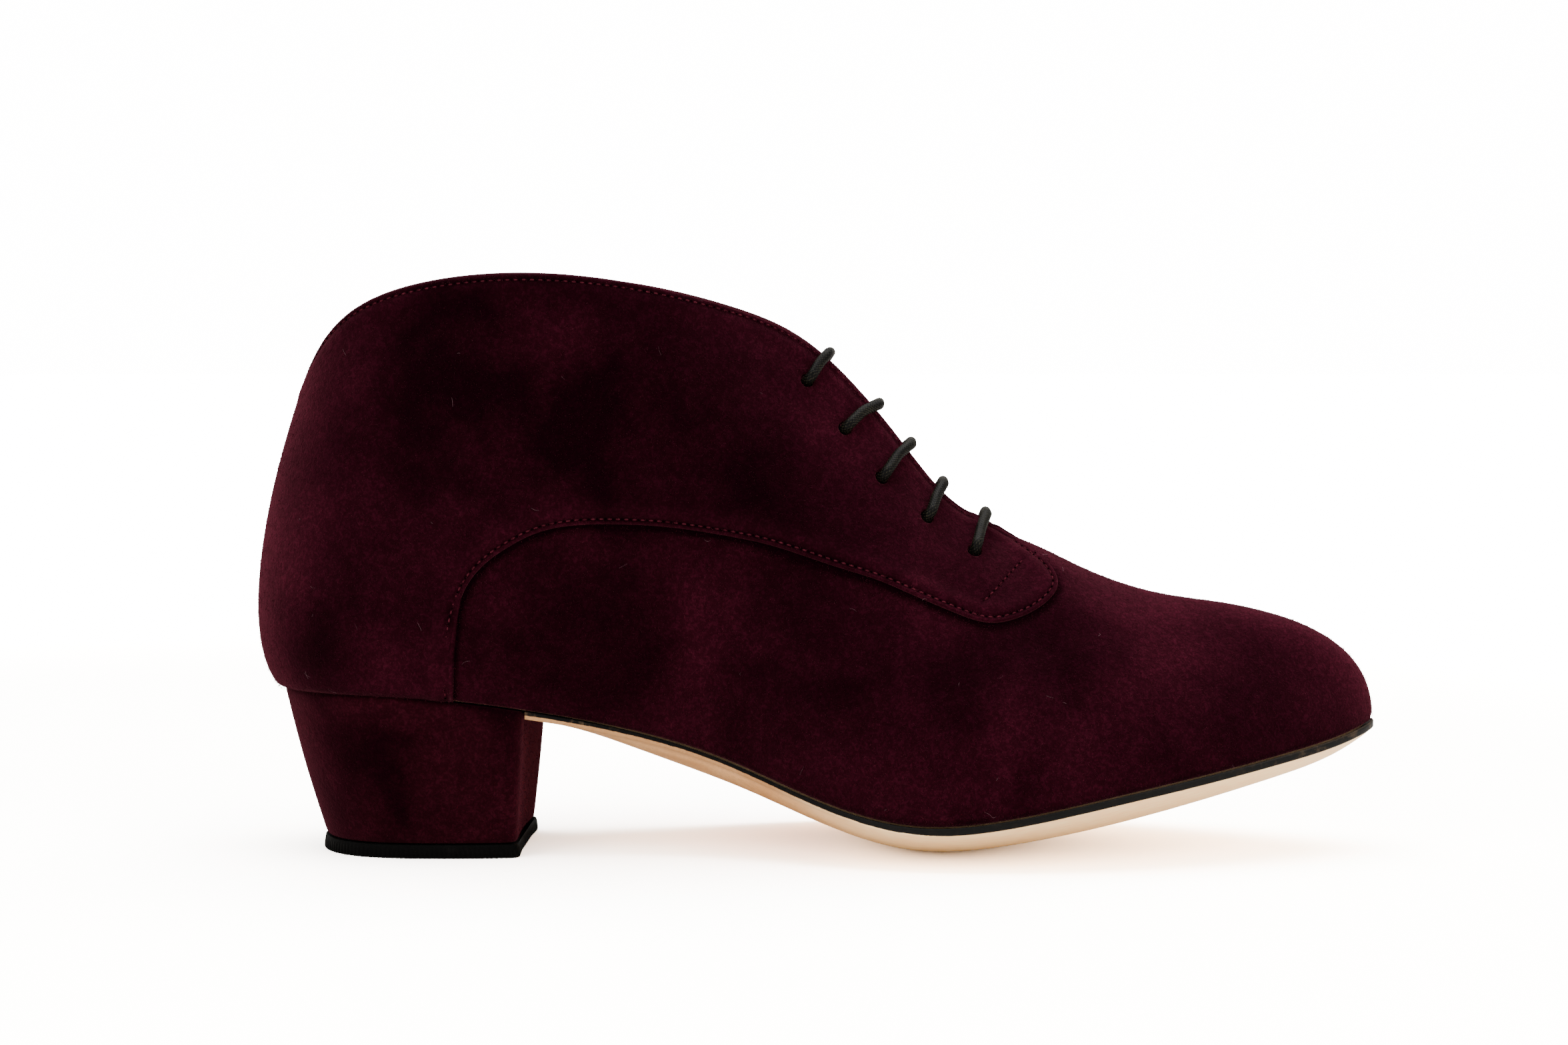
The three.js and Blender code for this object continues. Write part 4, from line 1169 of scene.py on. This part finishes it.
def tongue_mesh():
    """Loops of the tongue: under the inner facing, across the throat, under the outer."""
    section = np.linspace(TONGUE_START, TONGUE_END, 120)[:, None]
    rising = smooth(section, TONGUE_SUNK, TONGUE_END - 0.4)
    depth = TONGUE_DEPTH + (WALL + CLEARANCE - TONGUE_DEPTH) * rising
    reach = np.hypot(high_out.at(section), high_down.at(section))
    lap = 1 - TONGUE_LAP / (3 * reach)
    across = np.linspace(0, 1, 22)[None, :]
    rise = lap + (1 - lap) * across
    inner_half = skin(section + 0 * across, rise, -depth + 0 * across)
    outer_half = skin(RING - section + 0 * across, rise, -depth + 0 * across)
    bridge = np.linspace(0, 1, 14)[None, 1:-1, None]
    middle = inner_half[:, -1:, :] * (1 - bridge) + outer_half[:, -1:, :] * bridge
    top_face = np.concatenate([inner_half, middle, outer_half[:, ::-1]], axis=1)
    columns = top_face.shape[1]
    du = np.gradient(top_face, axis=0)
    dv = np.gradient(top_face, axis=1)
    normal = np.cross(du, dv)
    normal /= np.maximum(np.linalg.norm(normal, axis=2, keepdims=True), 1e-9)
    normal[..., :] *= np.sign(normal[..., 2:3].mean())
    place = np.linspace(-1, 1, columns)[None, :, None]
    thin = TONGUE_THICK * (1 - 0.75 * np.abs(place) ** 14)
    middle_face = top_face - normal * TONGUE_THICK / 2
    upper_face = middle_face + normal * thin / 2
    lower_face = middle_face - normal * thin / 2
    loops = np.concatenate([upper_face, lower_face[:, ::-1]], axis=1)
    rows, size = loops.shape[:2]
    faces = grid_faces(rows, size, wrap_columns=True)
    i = np.arange(columns - 1)
    first = np.stack([i, i + 1, size - 2 - i, size - 1 - i], -1)
    final = first[:, ::-1] + (rows - 1) * size
    all_faces = np.concatenate([faces, first, final])
    j = np.arange(len(faces)) % size
    slots = np.concatenate([np.where(j < columns, 0, 1), np.zeros(2 * len(first), int)])
    return make_mesh("tongue_soft", loops, all_faces, slots)


make_piece("tongue_soft", tongue_mesh(), [suede_upper, lining_leather], ["tongue"])

# %% [markdown]
# ## The lace
#
# One waxed round cord crosses the throat in five bars. It is a tube carried along the same
# route as the solid, rounded at the corners, and its surface is pushed in and out by a
# braid: two families of strands that wind in opposite ways and pass over and under.

# %% Lace route
OVER = CLEARANCE + QUARTER_THICK + LACE_PLAY + LACE / 2
UNDER = -(WALL + LACE_PLAY + LACE / 2)
ASIDE = 1.6 * (LACE + LACE_PLAY) / UPPER_HEIGHT


def lace_points():
    """The corners of the route, in the order in which the cord runs."""
    points = []
    for order, eyelet in enumerate(EYELETS):
        points.append(skin(eyelet["section"], eyelet["rise"] - ASIDE, UNDER))
        if order + 1 < len(EYELETS):
            below = EYELETS[order + 1]
            half = (eyelet["section"] + below["section"]) / 2
            points.append(skin(half, (eyelet["rise"] + below["rise"]) / 2 - ASIDE, UNDER))
    upwards = EYELETS[::-1]
    for order, eyelet in enumerate(upwards):
        near = order % 2 == 0
        middle = (eyelet["section"] + eyelet["crossing"]) / 2

        def bar(inner):
            return [skin(side(eyelet["section"], inner), eyelet["rise"], UNDER),
                    skin(side(eyelet["section"], inner), eyelet["rise"], OVER),
                    skin(side(middle, inner), (eyelet["rise"] + 1) / 2, OVER),
                    skin(side(eyelet["crossing"], inner), 1.0, OVER)]

        points += bar(near) + bar(not near)[::-1]
        if order + 1 < len(upwards):
            above = upwards[order + 1]
            half = (eyelet["section"] + above["section"]) / 2
            points.append(skin(side(half, not near), (eyelet["rise"] + above["rise"]) / 2, UNDER))
    return np.array([np.asarray(p, float) for p in points])


def rounded(points, radius=1.5, steps=6):
    """Replace each corner by a small quadratic curve that starts and ends near it."""
    curve = [points[:1]]
    for before, here, after in zip(points[:-2], points[1:-1], points[2:]):
        a, b = before - here, after - here
        la, lb = np.linalg.norm(a), np.linalg.norm(b)
        start = here + a / la * min(radius, la * 0.45)
        end = here + b / lb * min(radius, lb * 0.45)
        t = np.linspace(0, 1, steps)[:, None]
        curve.append((1 - t) ** 2 * start + 2 * t * (1 - t) * here + t * t * end)
    curve.append(points[-1:])
    return np.concatenate(curve)


# %% Lace body
STRANDS = 10               # of each of the braid's two families
LAY = 7.5                  # mm of lace in which a strand goes round once
BRAID_DEPTH = 0.24
LACE_STEP = 0.19           # between two rings of the tube
LACE_COLUMNS = 32


def along_path(path, spacing):
    total = path_length(path)
    count = int(total / spacing) + 1
    return pick(path, even_lengths(path, np.linspace(0, 1, count))), total


def steady_axes(path):
    """Sideways axes that turn as little as possible along the path."""
    tangent = unit(np.gradient(path, axis=0))
    first = np.zeros_like(tangent)
    axis = np.array([1.0, 0.0, 0.0])
    for i, t in enumerate(tangent):
        axis = axis - t * (axis @ t)
        axis /= np.linalg.norm(axis)
        first[i] = axis
    return tangent, first, np.cross(tangent, first)


def braid_height(along, turn):
    """Each strand is a ridge sin(pi * across it). The two families cross in diamonds, and in
    each diamond the family on top is chosen by a checker: even ones left, odd ones right."""
    a = STRANDS * (turn / (2 * np.pi) + along / LAY)
    b = STRANDS * (turn / (2 * np.pi) - along / LAY)
    left_on_top = (np.floor(a) + np.floor(b)) % 2 == 0
    across_a, across_b = np.sin(np.pi * (a % 1)), np.sin(np.pi * (b % 1))
    above = np.where(left_on_top, across_a, across_b)
    below = np.where(left_on_top, across_b, across_a)
    return 0.7 * above ** 0.6 + 0.3 * below


def lace_mesh():
    """A tube whose radius is about half the lace, less the braid's depth where strands dip."""
    path, total = along_path(rounded(lace_points()), LACE_STEP)
    tangent, first, second = steady_axes(path)
    turn = np.linspace(0, 2 * np.pi, LACE_COLUMNS + 1)[:-1]
    along = np.linspace(0, total, len(path))[:, None]
    height = braid_height(along, turn[None, :])
    radius = LACE / 2 - 0.2 + BRAID_DEPTH * height
    points = (path[:, None, :] + first[:, None, :] * (radius * np.cos(turn))[..., None]
              + second[:, None, :] * (radius * np.sin(turn))[..., None])
    print("lace %.0f mm long" % total)
    # Painted light of the braid: darker in the hollows between strands, lighter on their crowns.
    wear = (height - 0.86) * 2.2
    faces = stacked_faces(len(path), LACE_COLUMNS)
    return make_mesh("lace_braid", points, faces, weld=0.0005, wear=wear)


make_piece("lace_braid", lace_mesh(), [lace_wax], ["lace"])

# %% [markdown]
# ## Footbed and outsole
#
# The bed under the foot joins the two feather lines and sinks along the middle, because
# the bottom of a last is round. The insole lies on it. The outsole hangs below it: a
# painted edge that stands a little proud, then a rounded leather bottom with a flat spot
# where the ball presses on the floor.


# %% Bed surface
def section_at(x):
    """The section whose feather line lies at x, read off a fine table."""
    fine = np.linspace(0, TOE, 4001)
    return np.interp(x, foot_x.at(fine), fine)


def bed(x, y):
    """Height of the bed: a straight line across, less sink * 4t(1 - t) for the round bottom."""
    section = section_at(x)
    inner, outer = foot(section), foot(RING - section)
    width = np.maximum(outer[..., 1] - inner[..., 1], CLEARANCE)
    across = np.clip((y - inner[..., 1]) / width, 0, 1)
    sink = np.maximum(crown.at(section), 0) * (1 - (SOLE_THICK - SOLE_RIM) / SOLE_CROWN)
    return inner[..., 2] + (outer[..., 2] - inner[..., 2]) * across - sink * 4 * across * (1 - across)


def cross_rows(sections_here, inset, shares):
    """Points between the inner and outer feather lines, moved in by the inset."""
    inner = foot(sections_here) - outward(sections_here) * inset
    outer = foot(RING - sections_here) - outward(RING - sections_here) * inset
    t = shares[None, :, None]
    return inner[:, None, :] * (1 - t) + outer[:, None, :] * t


# %% Insole
# Its edge almost touches the foot of the wall.


def insole_mesh():
    """Bottom on the bed, top a little rounded at its edge."""
    sections_here = TOE * (1 - np.cos(np.linspace(0, np.pi, 150))) / 2
    shares = (1 - np.cos(np.linspace(0, np.pi, 41))) / 2
    flat = cross_rows(sections_here, WALL + CLEARANCE / 3, shares)
    base = bed(flat[..., 0], flat[..., 1])
    soft = 1 - np.abs(2 * shares - 1)[None, :] ** 16
    low, high = flat.copy(), flat.copy()
    low[..., 2] = base
    high[..., 2] = base + INSOLE_THICK * (0.45 + 0.55 * soft)
    loops = np.concatenate([low, high[:, ::-1]], axis=1)
    rows, columns = loops.shape[:2]
    faces = grid_faces(rows, columns, wrap_columns=True)[:, ::-1]
    return make_mesh("insole_bed", loops, faces)


make_piece("insole_bed", insole_mesh(), [insole_leather], ["insole"])


# %% Outsole
def outsole_mesh():
    """Loops across the sole: painted edge, step, rounded bottom, step, edge, hidden top."""
    start = float(section_at(BREAST + CLEARANCE - ORIGIN))
    sections_here = start + (TOE - start) * np.sin(np.linspace(0, np.pi / 2, 260))
    columns = 61
    shares = (1 - np.cos(np.linspace(0, np.pi, columns))) / 2
    inner, outer = foot(sections_here), foot(RING - sections_here)
    inner_edge = inner + outward(sections_here) * RIM_PROUD
    outer_edge = outer + outward(RING - sections_here) * RIM_PROUD
    under = cross_rows(sections_here, 0.0, shares)
    over = under.copy()
    depth = np.maximum(crown.at(sections_here), 0)[:, None]
    rounding = 1 - np.abs(2 * shares - 1)[None, :] ** 2.2
    under[..., 2] = np.maximum(under[..., 2] - CLEARANCE - SOLE_RIM - depth * rounding, 0)
    over[..., 2] = bed(over[..., 0], over[..., 1]) - CLEARANCE

    def lowered(edge, drop, pull, towards):
        point = edge + (towards - edge) * pull
        point[..., 2] = edge[..., 2] - drop
        return point[:, None, :]

    drops = [(CLEARANCE, 0.35), (CLEARANCE + 0.2, 0.0), (CLEARANCE + 0.6, 0.0),
             (CLEARANCE + 1.1, 0.0), (CLEARANCE + SOLE_RIM - 0.15, 0.0), (CLEARANCE + SOLE_RIM, 0.3)]
    inner_rim = [lowered(inner_edge, d, p, inner) for d, p in drops]
    outer_rim = [lowered(outer_edge, d, p, outer) for d, p in drops]
    loops = np.concatenate(inner_rim + [under] + outer_rim[::-1] + [over[:, ::-1]], axis=1)
    rows, size = loops.shape[:2]
    faces = grid_faces(rows, size, wrap_columns=True)[:, ::-1]
    rim_count = len(drops)
    caps = []
    base = rim_count
    for a in range(columns - 1):
        top_a = 2 * rim_count + columns + (columns - 1 - a)
        caps.append((base + a, top_a, top_a - 1, base + a + 1))
    inner_fan = [(s, size - 1, s + 1, s) for s in range(rim_count)]
    far = base + columns - 1
    top_far = 2 * rim_count + columns
    outer_fan = [(far + s, top_far, far + s + 1, far + s) for s in range(rim_count)]
    caps = np.array(caps + inner_fan + outer_fan)
    edge_depths = np.broadcast_to([d for d, _ in drops], (rows, rim_count))
    level = inner[:, None, 2] * (1 - shares[None, :]) + outer[:, None, 2] * shares[None, :]
    # Here the attribute is the depth below the feather line, which places the black paint and the painted
    # shade of the waist's side.
    wear = np.concatenate([edge_depths, level - under[..., 2], edge_depths[:, ::-1], 0 * level], axis=1)
    return make_mesh("outsole_leather", loops, np.concatenate([faces, caps[:, ::-1]]), wear=wear)


make_piece("outsole_leather", outsole_mesh(), [sole_leather], ["outsole"])

# %% [markdown]
# ## Heel and heel tip
#
# The heel is a block covered with the same suede. Its back grows out of the feather line
# and leans in towards the floor, and its front is slightly hollow. The tip is a slab of
# black rubber whose edge is ribbed.


# %% Heel outline
def heel_loop(level, height, corner=1.6, grow=0.0, steps=90):
    """One level of the heel: the seat's outline, shrunk towards the bottom, with a hollow
    front and rounded front corners."""
    front = float(section_at(BREAST - ORIGIN))
    breast = BREAST - ORIGIN
    back_top = foot(0.0)[0]
    share_x = HEEL_LENGTH / (breast - back_top)
    half_top = (foot(RING - 3.0)[1] - foot(3.0)[1]) / 2
    share_y = HEEL_WIDTH / 2 / half_top
    swell = level + HEEL_BOW * math.sin(math.pi * level)
    around = np.linspace(0, front, steps)
    inner_side = foot(around)
    outer_side = foot(RING - around[::-1])
    t = np.linspace(0, 1, 41)[1:-1]
    face = inner_side[-1] * (1 - t)[:, None] + outer_side[0] * t[:, None]
    face[:, 0] -= BREAST_HOLLOW * np.sin(np.pi * t)
    loop = np.concatenate([inner_side, face, outer_side[:-1]])
    x = HEEL_LENGTH / 2 + (loop[:, 0] - breast) * share_x
    y = loop[:, 1] * share_y
    x = x + (loop[:, 0] - x) * swell
    y = y + (loop[:, 1] - y) * swell
    x = x * (1 + 2 * grow / HEEL_LENGTH)
    y = y * (1 + 2 * grow / HEEL_WIDTH)
    flat = np.stack([x, y], -1)
    flat = round_corners(flat, corner)
    return np.column_stack([flat, height(loop)])


def round_corners(loop, size):
    """Average each point with neighbours within a few tenths of a mm, several times."""
    spacing = np.linalg.norm(np.roll(loop, -1, 0) - loop, axis=1).mean()
    for _ in range(int((size / spacing) ** 2 * 2)):
        loop = 0.5 * loop + 0.25 * (np.roll(loop, 1, 0) + np.roll(loop, -1, 0))
    return loop


# %% Heel
def heel_mesh():
    base = TIP_THICK + CLEARANCE
    near_tip, near_seat = [0.0, 0.004, 0.012, 0.03], [0.965, 0.98, 0.99, 0.996, 1.0]
    levels = np.concatenate([near_tip, np.linspace(0.06, 0.94, 32), near_seat])
    loops, wear = [], []
    for level in levels:
        above, below = level * SEAT_HEIGHT, (1 - level) * SEAT_HEIGHT
        tuck = 0.35 * math.exp(-above / 0.3) + 0.5 * math.exp(-below / 0.35)
        loop = heel_loop(level, lambda p, s=level: base + (p[:, 2] - CLEARANCE - base) * s, grow=-tuck)
        front = smooth(loop[:, 0], loop[:, 0].max() - 1.6, loop[:, 0].max() - 0.6)
        loops.append(loop)
        # Painted shade under the seat and just above the tip; paler at the front corners.
        shade = 0.6 * bell(below, 0, 0.9)
        wear.append(0.3 * front - shade - 0.2 * bell(above, 0, 0.8))
    loops = np.array(loops)
    rows, columns = loops.shape[:2]
    return make_mesh("heel_cover", loops, stacked_faces(rows, columns), wear=np.array(wear))


heel_piece = make_piece("heel_cover", heel_mesh(), [suede_heel], ["heel"])


# %% Heel tip
RIB_PITCH = 1.05
RIB_POINTS = 6


def tip_mesh():
    """The slab's edge is scalloped: its radius swells by |sin| along the outline, more at
    the floor than under the heel."""
    loops = []
    heights = [0.0, 0.0, 0.35, 0.8, 1.4, 2.0, 2.5, 2.85, TIP_THICK]
    outset = [-0.35, 0.0, 0.12, 0.12, 0.1, 0.06, 0.0, -0.08, -0.3]
    depth = [0.2, 0.3, 0.3, 0.26, 0.2, 0.12, 0.06, 0.0, 0.0]
    fine = heel_loop(0.0, lambda p: np.zeros(len(p)), corner=1.0, grow=TIP_PROUD, steps=90)
    closed = np.concatenate([fine, fine[:1]])
    total = path_length(closed)
    ribs = int(total / RIB_PITCH)
    outline = pick(closed, even_lengths(closed, np.arange(ribs * RIB_POINTS) / (ribs * RIB_POINTS)))
    tangent = np.roll(outline, -1, 0) - np.roll(outline, 1, 0)
    out = unit(np.stack([tangent[:, 1], -tangent[:, 0], 0 * tangent[:, 0]], -1))
    phase = np.arange(len(outline)) / RIB_POINTS
    rib = np.abs(np.sin(np.pi * phase)) - 0.5
    uneven = 0.08 * np.sin(phase * 1.7) + 0.05 * np.sin(phase * 0.61 + 1.0)
    for h, o, d in zip(heights, outset, depth):
        ring_points = outline + out * (o + d * rib + uneven * d)[:, None]
        ring_points[:, 2] = h
        loops.append(ring_points)
    loops = np.array(loops)
    rows, columns = loops.shape[:2]
    return make_mesh("heel_tip_ribbed", loops, stacked_faces(rows, columns))


make_piece("heel_tip_ribbed", tip_mesh(), [tip_rubber], ["heel_tip"])

# %% [markdown]
# ## Nap fibres and lint
#
# What makes suede look soft is its outline: short fibres stand off the edge and blur it.
# Each fibre here is a thin spike of three sides, leaning the way the nap was brushed. The
# places are drawn at random from a fixed seed, evenly over the surface, and numpy builds all
# the spikes at once. A few longer pale hairs are the lint that every suede shoe collects.


# %% Where fibres stand
rng = np.random.default_rng(7)
CELLS_UP = 80
quarter_outline = np.concatenate([edge_fine, [(0.0, 1.0), (0.0, -0.05)], edge_fine[:1]])


def under_quarter(section, rise):
    """True where a ray towards the toe crosses the outline of the quarter an odd number of times."""
    inside = np.zeros(section.shape, bool)
    for (k0, r0), (k1, r1) in zip(quarter_outline[:-1], quarter_outline[1:]):
        if r0 == r1:
            continue
        crosses = (rise >= min(r0, r1)) & (rise < max(r0, r1))
        where = k0 + (rise - r0) * (k1 - k0) / (r1 - r0)
        inside ^= crosses & (section < where)
    return inside


def scatter(count):
    """Stations and rises drawn evenly over the last: cells by area, then a place in the cell."""
    k = np.linspace(0, RING, 20 * RING + 1)
    r = np.linspace(0.004, 0.996, CELLS_UP + 1)
    grid = last(k[:, None], r[None, :])
    across = grid[1:, :-1] - grid[:-1, :-1]
    up = grid[:-1, 1:] - grid[:-1, :-1]
    area = np.linalg.norm(np.cross(across, up), axis=2).reshape(-1)
    cell = rng.choice(len(area), count, p=area / area.sum())
    i, j = cell // CELLS_UP, cell % CELLS_UP
    spread = rng.random((2, count))
    return k[i] + spread[0] * (k[1] - k[0]), r[j] + spread[1] * (r[1] - r[0])


def spikes(roots, directions, lengths, thick):
    """Three root corners around each fibre and one tip; faces as corner numbers."""
    helper = np.where(np.abs(directions[:, :1]) < 0.7, [[1.0, 0, 0]], [[0, 1.0, 0]])
    first = unit(np.cross(directions, helper))
    second = np.cross(directions, first)
    turn = np.radians([0, 120, 240])
    ring = first[:, None] * np.cos(turn)[None, :, None] + second[:, None] * np.sin(turn)[None, :, None]
    corners = roots[:, None] + ring * thick
    tips = roots + directions * lengths[:, None]
    points = np.concatenate([corners, tips[:, None]], axis=1)
    pattern = np.array([(0, 1, 3, 0), (1, 2, 3, 1), (2, 0, 3, 2), (0, 2, 1, 0)])
    faces = pattern[None] + 4 * np.arange(len(roots))[:, None, None]
    return points.reshape(-1, 3), faces.reshape(-1, 4)


# %% Fibres of the upper and the heel
NAP_LENGTH = 0.65
NAP_THICK = 0.06           # distance of a root's corners from its middle
ROOT_SUNK = 0.06
SCATTER = 0.4
BRUSHED = np.array([0.45, 0.0, -0.35])      # towards the toe and down
NAP_DRAWS = 82000          # for each layer, before those on the other layer are left out
HEEL_FIBRES = 9000


def fibres_mesh(name, roots, normals):
    """Each fibre leans along normal + brush + a random part, and has a length of its own."""
    lean = unit(normals * 0.7 + BRUSHED * 0.7 + rng.normal(0, SCATTER, roots.shape))
    lengths = NAP_LENGTH * rng.uniform(0.5, 1.3, len(roots))
    points, faces = spikes(roots, lean, lengths, NAP_THICK)
    return make_mesh(name, points, faces, weld=0.0001)


def nap_mesh(name, count, covered):
    """Fibres of the quarter layer where it covers the upper, or of the upper elsewhere."""
    stations_here, rises = scatter(count)
    keep = under_quarter(fold(stations_here), rises) == covered
    stations_here, rises = stations_here[keep], rises[keep]
    edges = np.concatenate([border_lines(True)[0], border_lines(False)[0]])
    away = nearest(last(stations_here, rises), edges)
    keep = away > (0.5 if covered else 0.1)
    stations_here, rises = stations_here[keep], rises[keep]
    height = LAYER_TOP if covered else 0.0
    roots = surface(stations_here, rises, np.full(len(rises), height - ROOT_SUNK))
    normals = side_normal(stations_here, rises)
    return fibres_mesh(name, roots, normals)


make_piece("vamp_nap", nap_mesh("vamp_nap", NAP_DRAWS, False), [nap_fibre])
make_piece("quarter_nap", nap_mesh("quarter_nap", NAP_DRAWS, True), [nap_fibre])


def heel_nap_mesh(count):
    """Fibres on the heel cover, drawn by area from its own triangles."""
    mesh = heel_piece.data
    mesh.calc_loop_triangles()
    corners = np.empty(len(mesh.loop_triangles) * 3, np.int32)
    mesh.loop_triangles.foreach_get("vertices", corners)
    place = np.empty(len(mesh.vertices) * 3, np.float32)
    mesh.vertices.foreach_get("co", place)
    a, b, c = np.moveaxis(place.reshape(-1, 3)[corners.reshape(-1, 3)] / MM, 1, 0)
    normal = np.cross(b - a, c - a).astype(float)
    area = np.linalg.norm(normal, axis=1)
    upright = np.abs(normal[:, 2]) < 0.7 * area
    area = area * upright
    chosen = rng.choice(len(area), count, p=area / area.sum())
    u, v = rng.random((2, count, 1))
    over = u + v > 1
    u, v = np.where(over, 1 - u, u), np.where(over, 1 - v, v)
    normals = unit(normal[chosen])
    roots = a[chosen] + u * (b - a)[chosen] + v * (c - a)[chosen] - 0.04 * normals
    return fibres_mesh("heel_nap", roots, normals)


make_piece("heel_nap", heel_nap_mesh(HEEL_FIBRES), [nap_fibre])


# %% Lint
LINT_COUNT = 90
LINT_THICK = 0.028         # half the thickness of a hair


def lint_mesh():
    """Thin three-sided hairs: each follows start + t*along + t(1-t)*bow, and lies on the suede."""
    stations_here, rises = scatter(LINT_COUNT)
    covered = under_quarter(fold(stations_here), rises)
    normals = side_normal(stations_here, rises)
    roots = surface(stations_here, rises, np.where(covered, LAYER_TOP, 0.0) + 0.03)
    along = unit(np.cross(normals, rng.normal(0, 1, roots.shape))) * rng.uniform(0.5, 2.2, (LINT_COUNT, 1))
    bow = unit(np.cross(normals, along)) * rng.normal(0, 0.9, (LINT_COUNT, 1))
    t = np.linspace(0, 1, 6)[None, :, None]
    middle = roots[:, None] + t * along[:, None] + t * (1 - t) * (bow[:, None] + normals[:, None] * 0.5)
    turn = np.radians([0, 120, 240])[None, None, :, None]
    sideways = unit(np.cross(along, normals))[:, None, None]
    ring = np.cos(turn) * sideways + np.sin(turn) * normals[:, None, None]
    points = middle[:, :, None] + LINT_THICK * ring
    faces = np.concatenate([grid_faces(6, 3, wrap_columns=True)[:, ::-1], [(0, 1, 2, 0), (15, 17, 16, 15)]])
    faces = faces[None] + 18 * np.arange(LINT_COUNT)[:, None, None]
    return make_mesh("lint_hairs", points, faces.reshape(-1, 4), weld=0.0001)


make_piece("lint_hairs", lint_mesh(), [lint_fibre])

# %% [markdown]
# ## Floor and light
#
# The photograph was taken on a glossy white table under large soft lamps. A pale floor
# that is wide enough to run out of the picture, a bright even world, and three area lamps
# give the same soft shadow and the bloom along the top of the vamp. Far from the shoe the
# floor glows as white as the world behind it, for the camera alone, so no horizon shows.

# %% Floor
floor_mesh = bpy.data.meshes.new("floor")
BACKDROP_STRENGTH = 16.0
FLOOR_REACH = 6.0          # in metres, each way
floor_corners = [(x * FLOOR_REACH, y * FLOOR_REACH, 0) for x, y in ((-1, -1), (1, -1), (1, 1), (-1, 1))]
floor_mesh.from_pydata(floor_corners, [], [(0, 1, 2, 3)])
floor = new_object("floor", floor_mesh)
floor_paint, floor_wires, floor_shader, floor_place = new_material("pale_floor")
seen = floor_wires.node("ShaderNodeLightPath").outputs["Is Camera Ray"]
floor_colour = floor_wires.blend(seen, (0.92, 0.87, 0.81, 1), (6.0, 5.8, 5.6, 1))
away = floor_wires.vector("LENGTH", floor_place)["Value"]
far = floor_wires.times(floor_wires.ramp(away, 0.3, 0.9), seen)
glow = floor_wires.blend(far, (0, 0, 0, 1), (1, 1, 1, 1))
floor_levels = {"Base Color": floor_colour, "Emission Color": glow,
                "Emission Strength": BACKDROP_STRENGTH, "Roughness": 0.45}
for label, value in floor_levels.items():
    floor_wires.feed(floor_shader.inputs[label], value)
floor_mesh.materials.append(floor_paint)


# %% Lamps
# Places and sizes are in metres, power in watts.


def lamp(name, place, aim, size, power, tint=(1, 1, 1)):
    data = bpy.data.lights.new(name, "AREA")
    data.shape = "RECTANGLE"
    data.size, data.size_y = size
    data.energy = power
    data.color = tint
    obj = new_object(name, data)
    obj.location = place
    direction = np.array(aim) - np.array(place)
    yaw = math.atan2(direction[1], direction[0])
    tilt = math.atan2(math.hypot(direction[0], direction[1]), -direction[2])
    obj.rotation_euler = (tilt, 0, yaw - math.pi / 2)


target = (0.09, 0.0, 0.05)
lamp("top_softbox", (0.1, 0.15, 1.3), target, (1.6, 1.2), 40)
lamp("front_left", (-0.9, -1.0, 0.8), target, (0.9, 0.9), 9)
lamp("front_right", (1.1, -0.9, 0.75), target, (0.9, 0.9), 10)

world = bpy.data.worlds.new("bright_room")
bpy.context.scene.world = world
world.use_nodes = True
sky = Wires(world.node_tree)
room = world.node_tree.nodes["Background"]
room.inputs["Color"].default_value = (1.0, 0.945, 0.88, 1)
room.inputs["Strength"].default_value = 1.25
backdrop = sky.node("ShaderNodeBackground", None, Color=(1.0, 0.99, 0.98, 1),
                    Strength=BACKDROP_STRENGTH)
seen_sky = sky.node("ShaderNodeLightPath").outputs["Is Camera Ray"]
choice = sky.node("ShaderNodeMixShader", None, i0=seen_sky, i1=room.outputs[0], i2=backdrop.outputs[0])
sky.feed(world.node_tree.nodes["World Output"].inputs["Surface"], choice.outputs[0])
print("lamps and world ready")
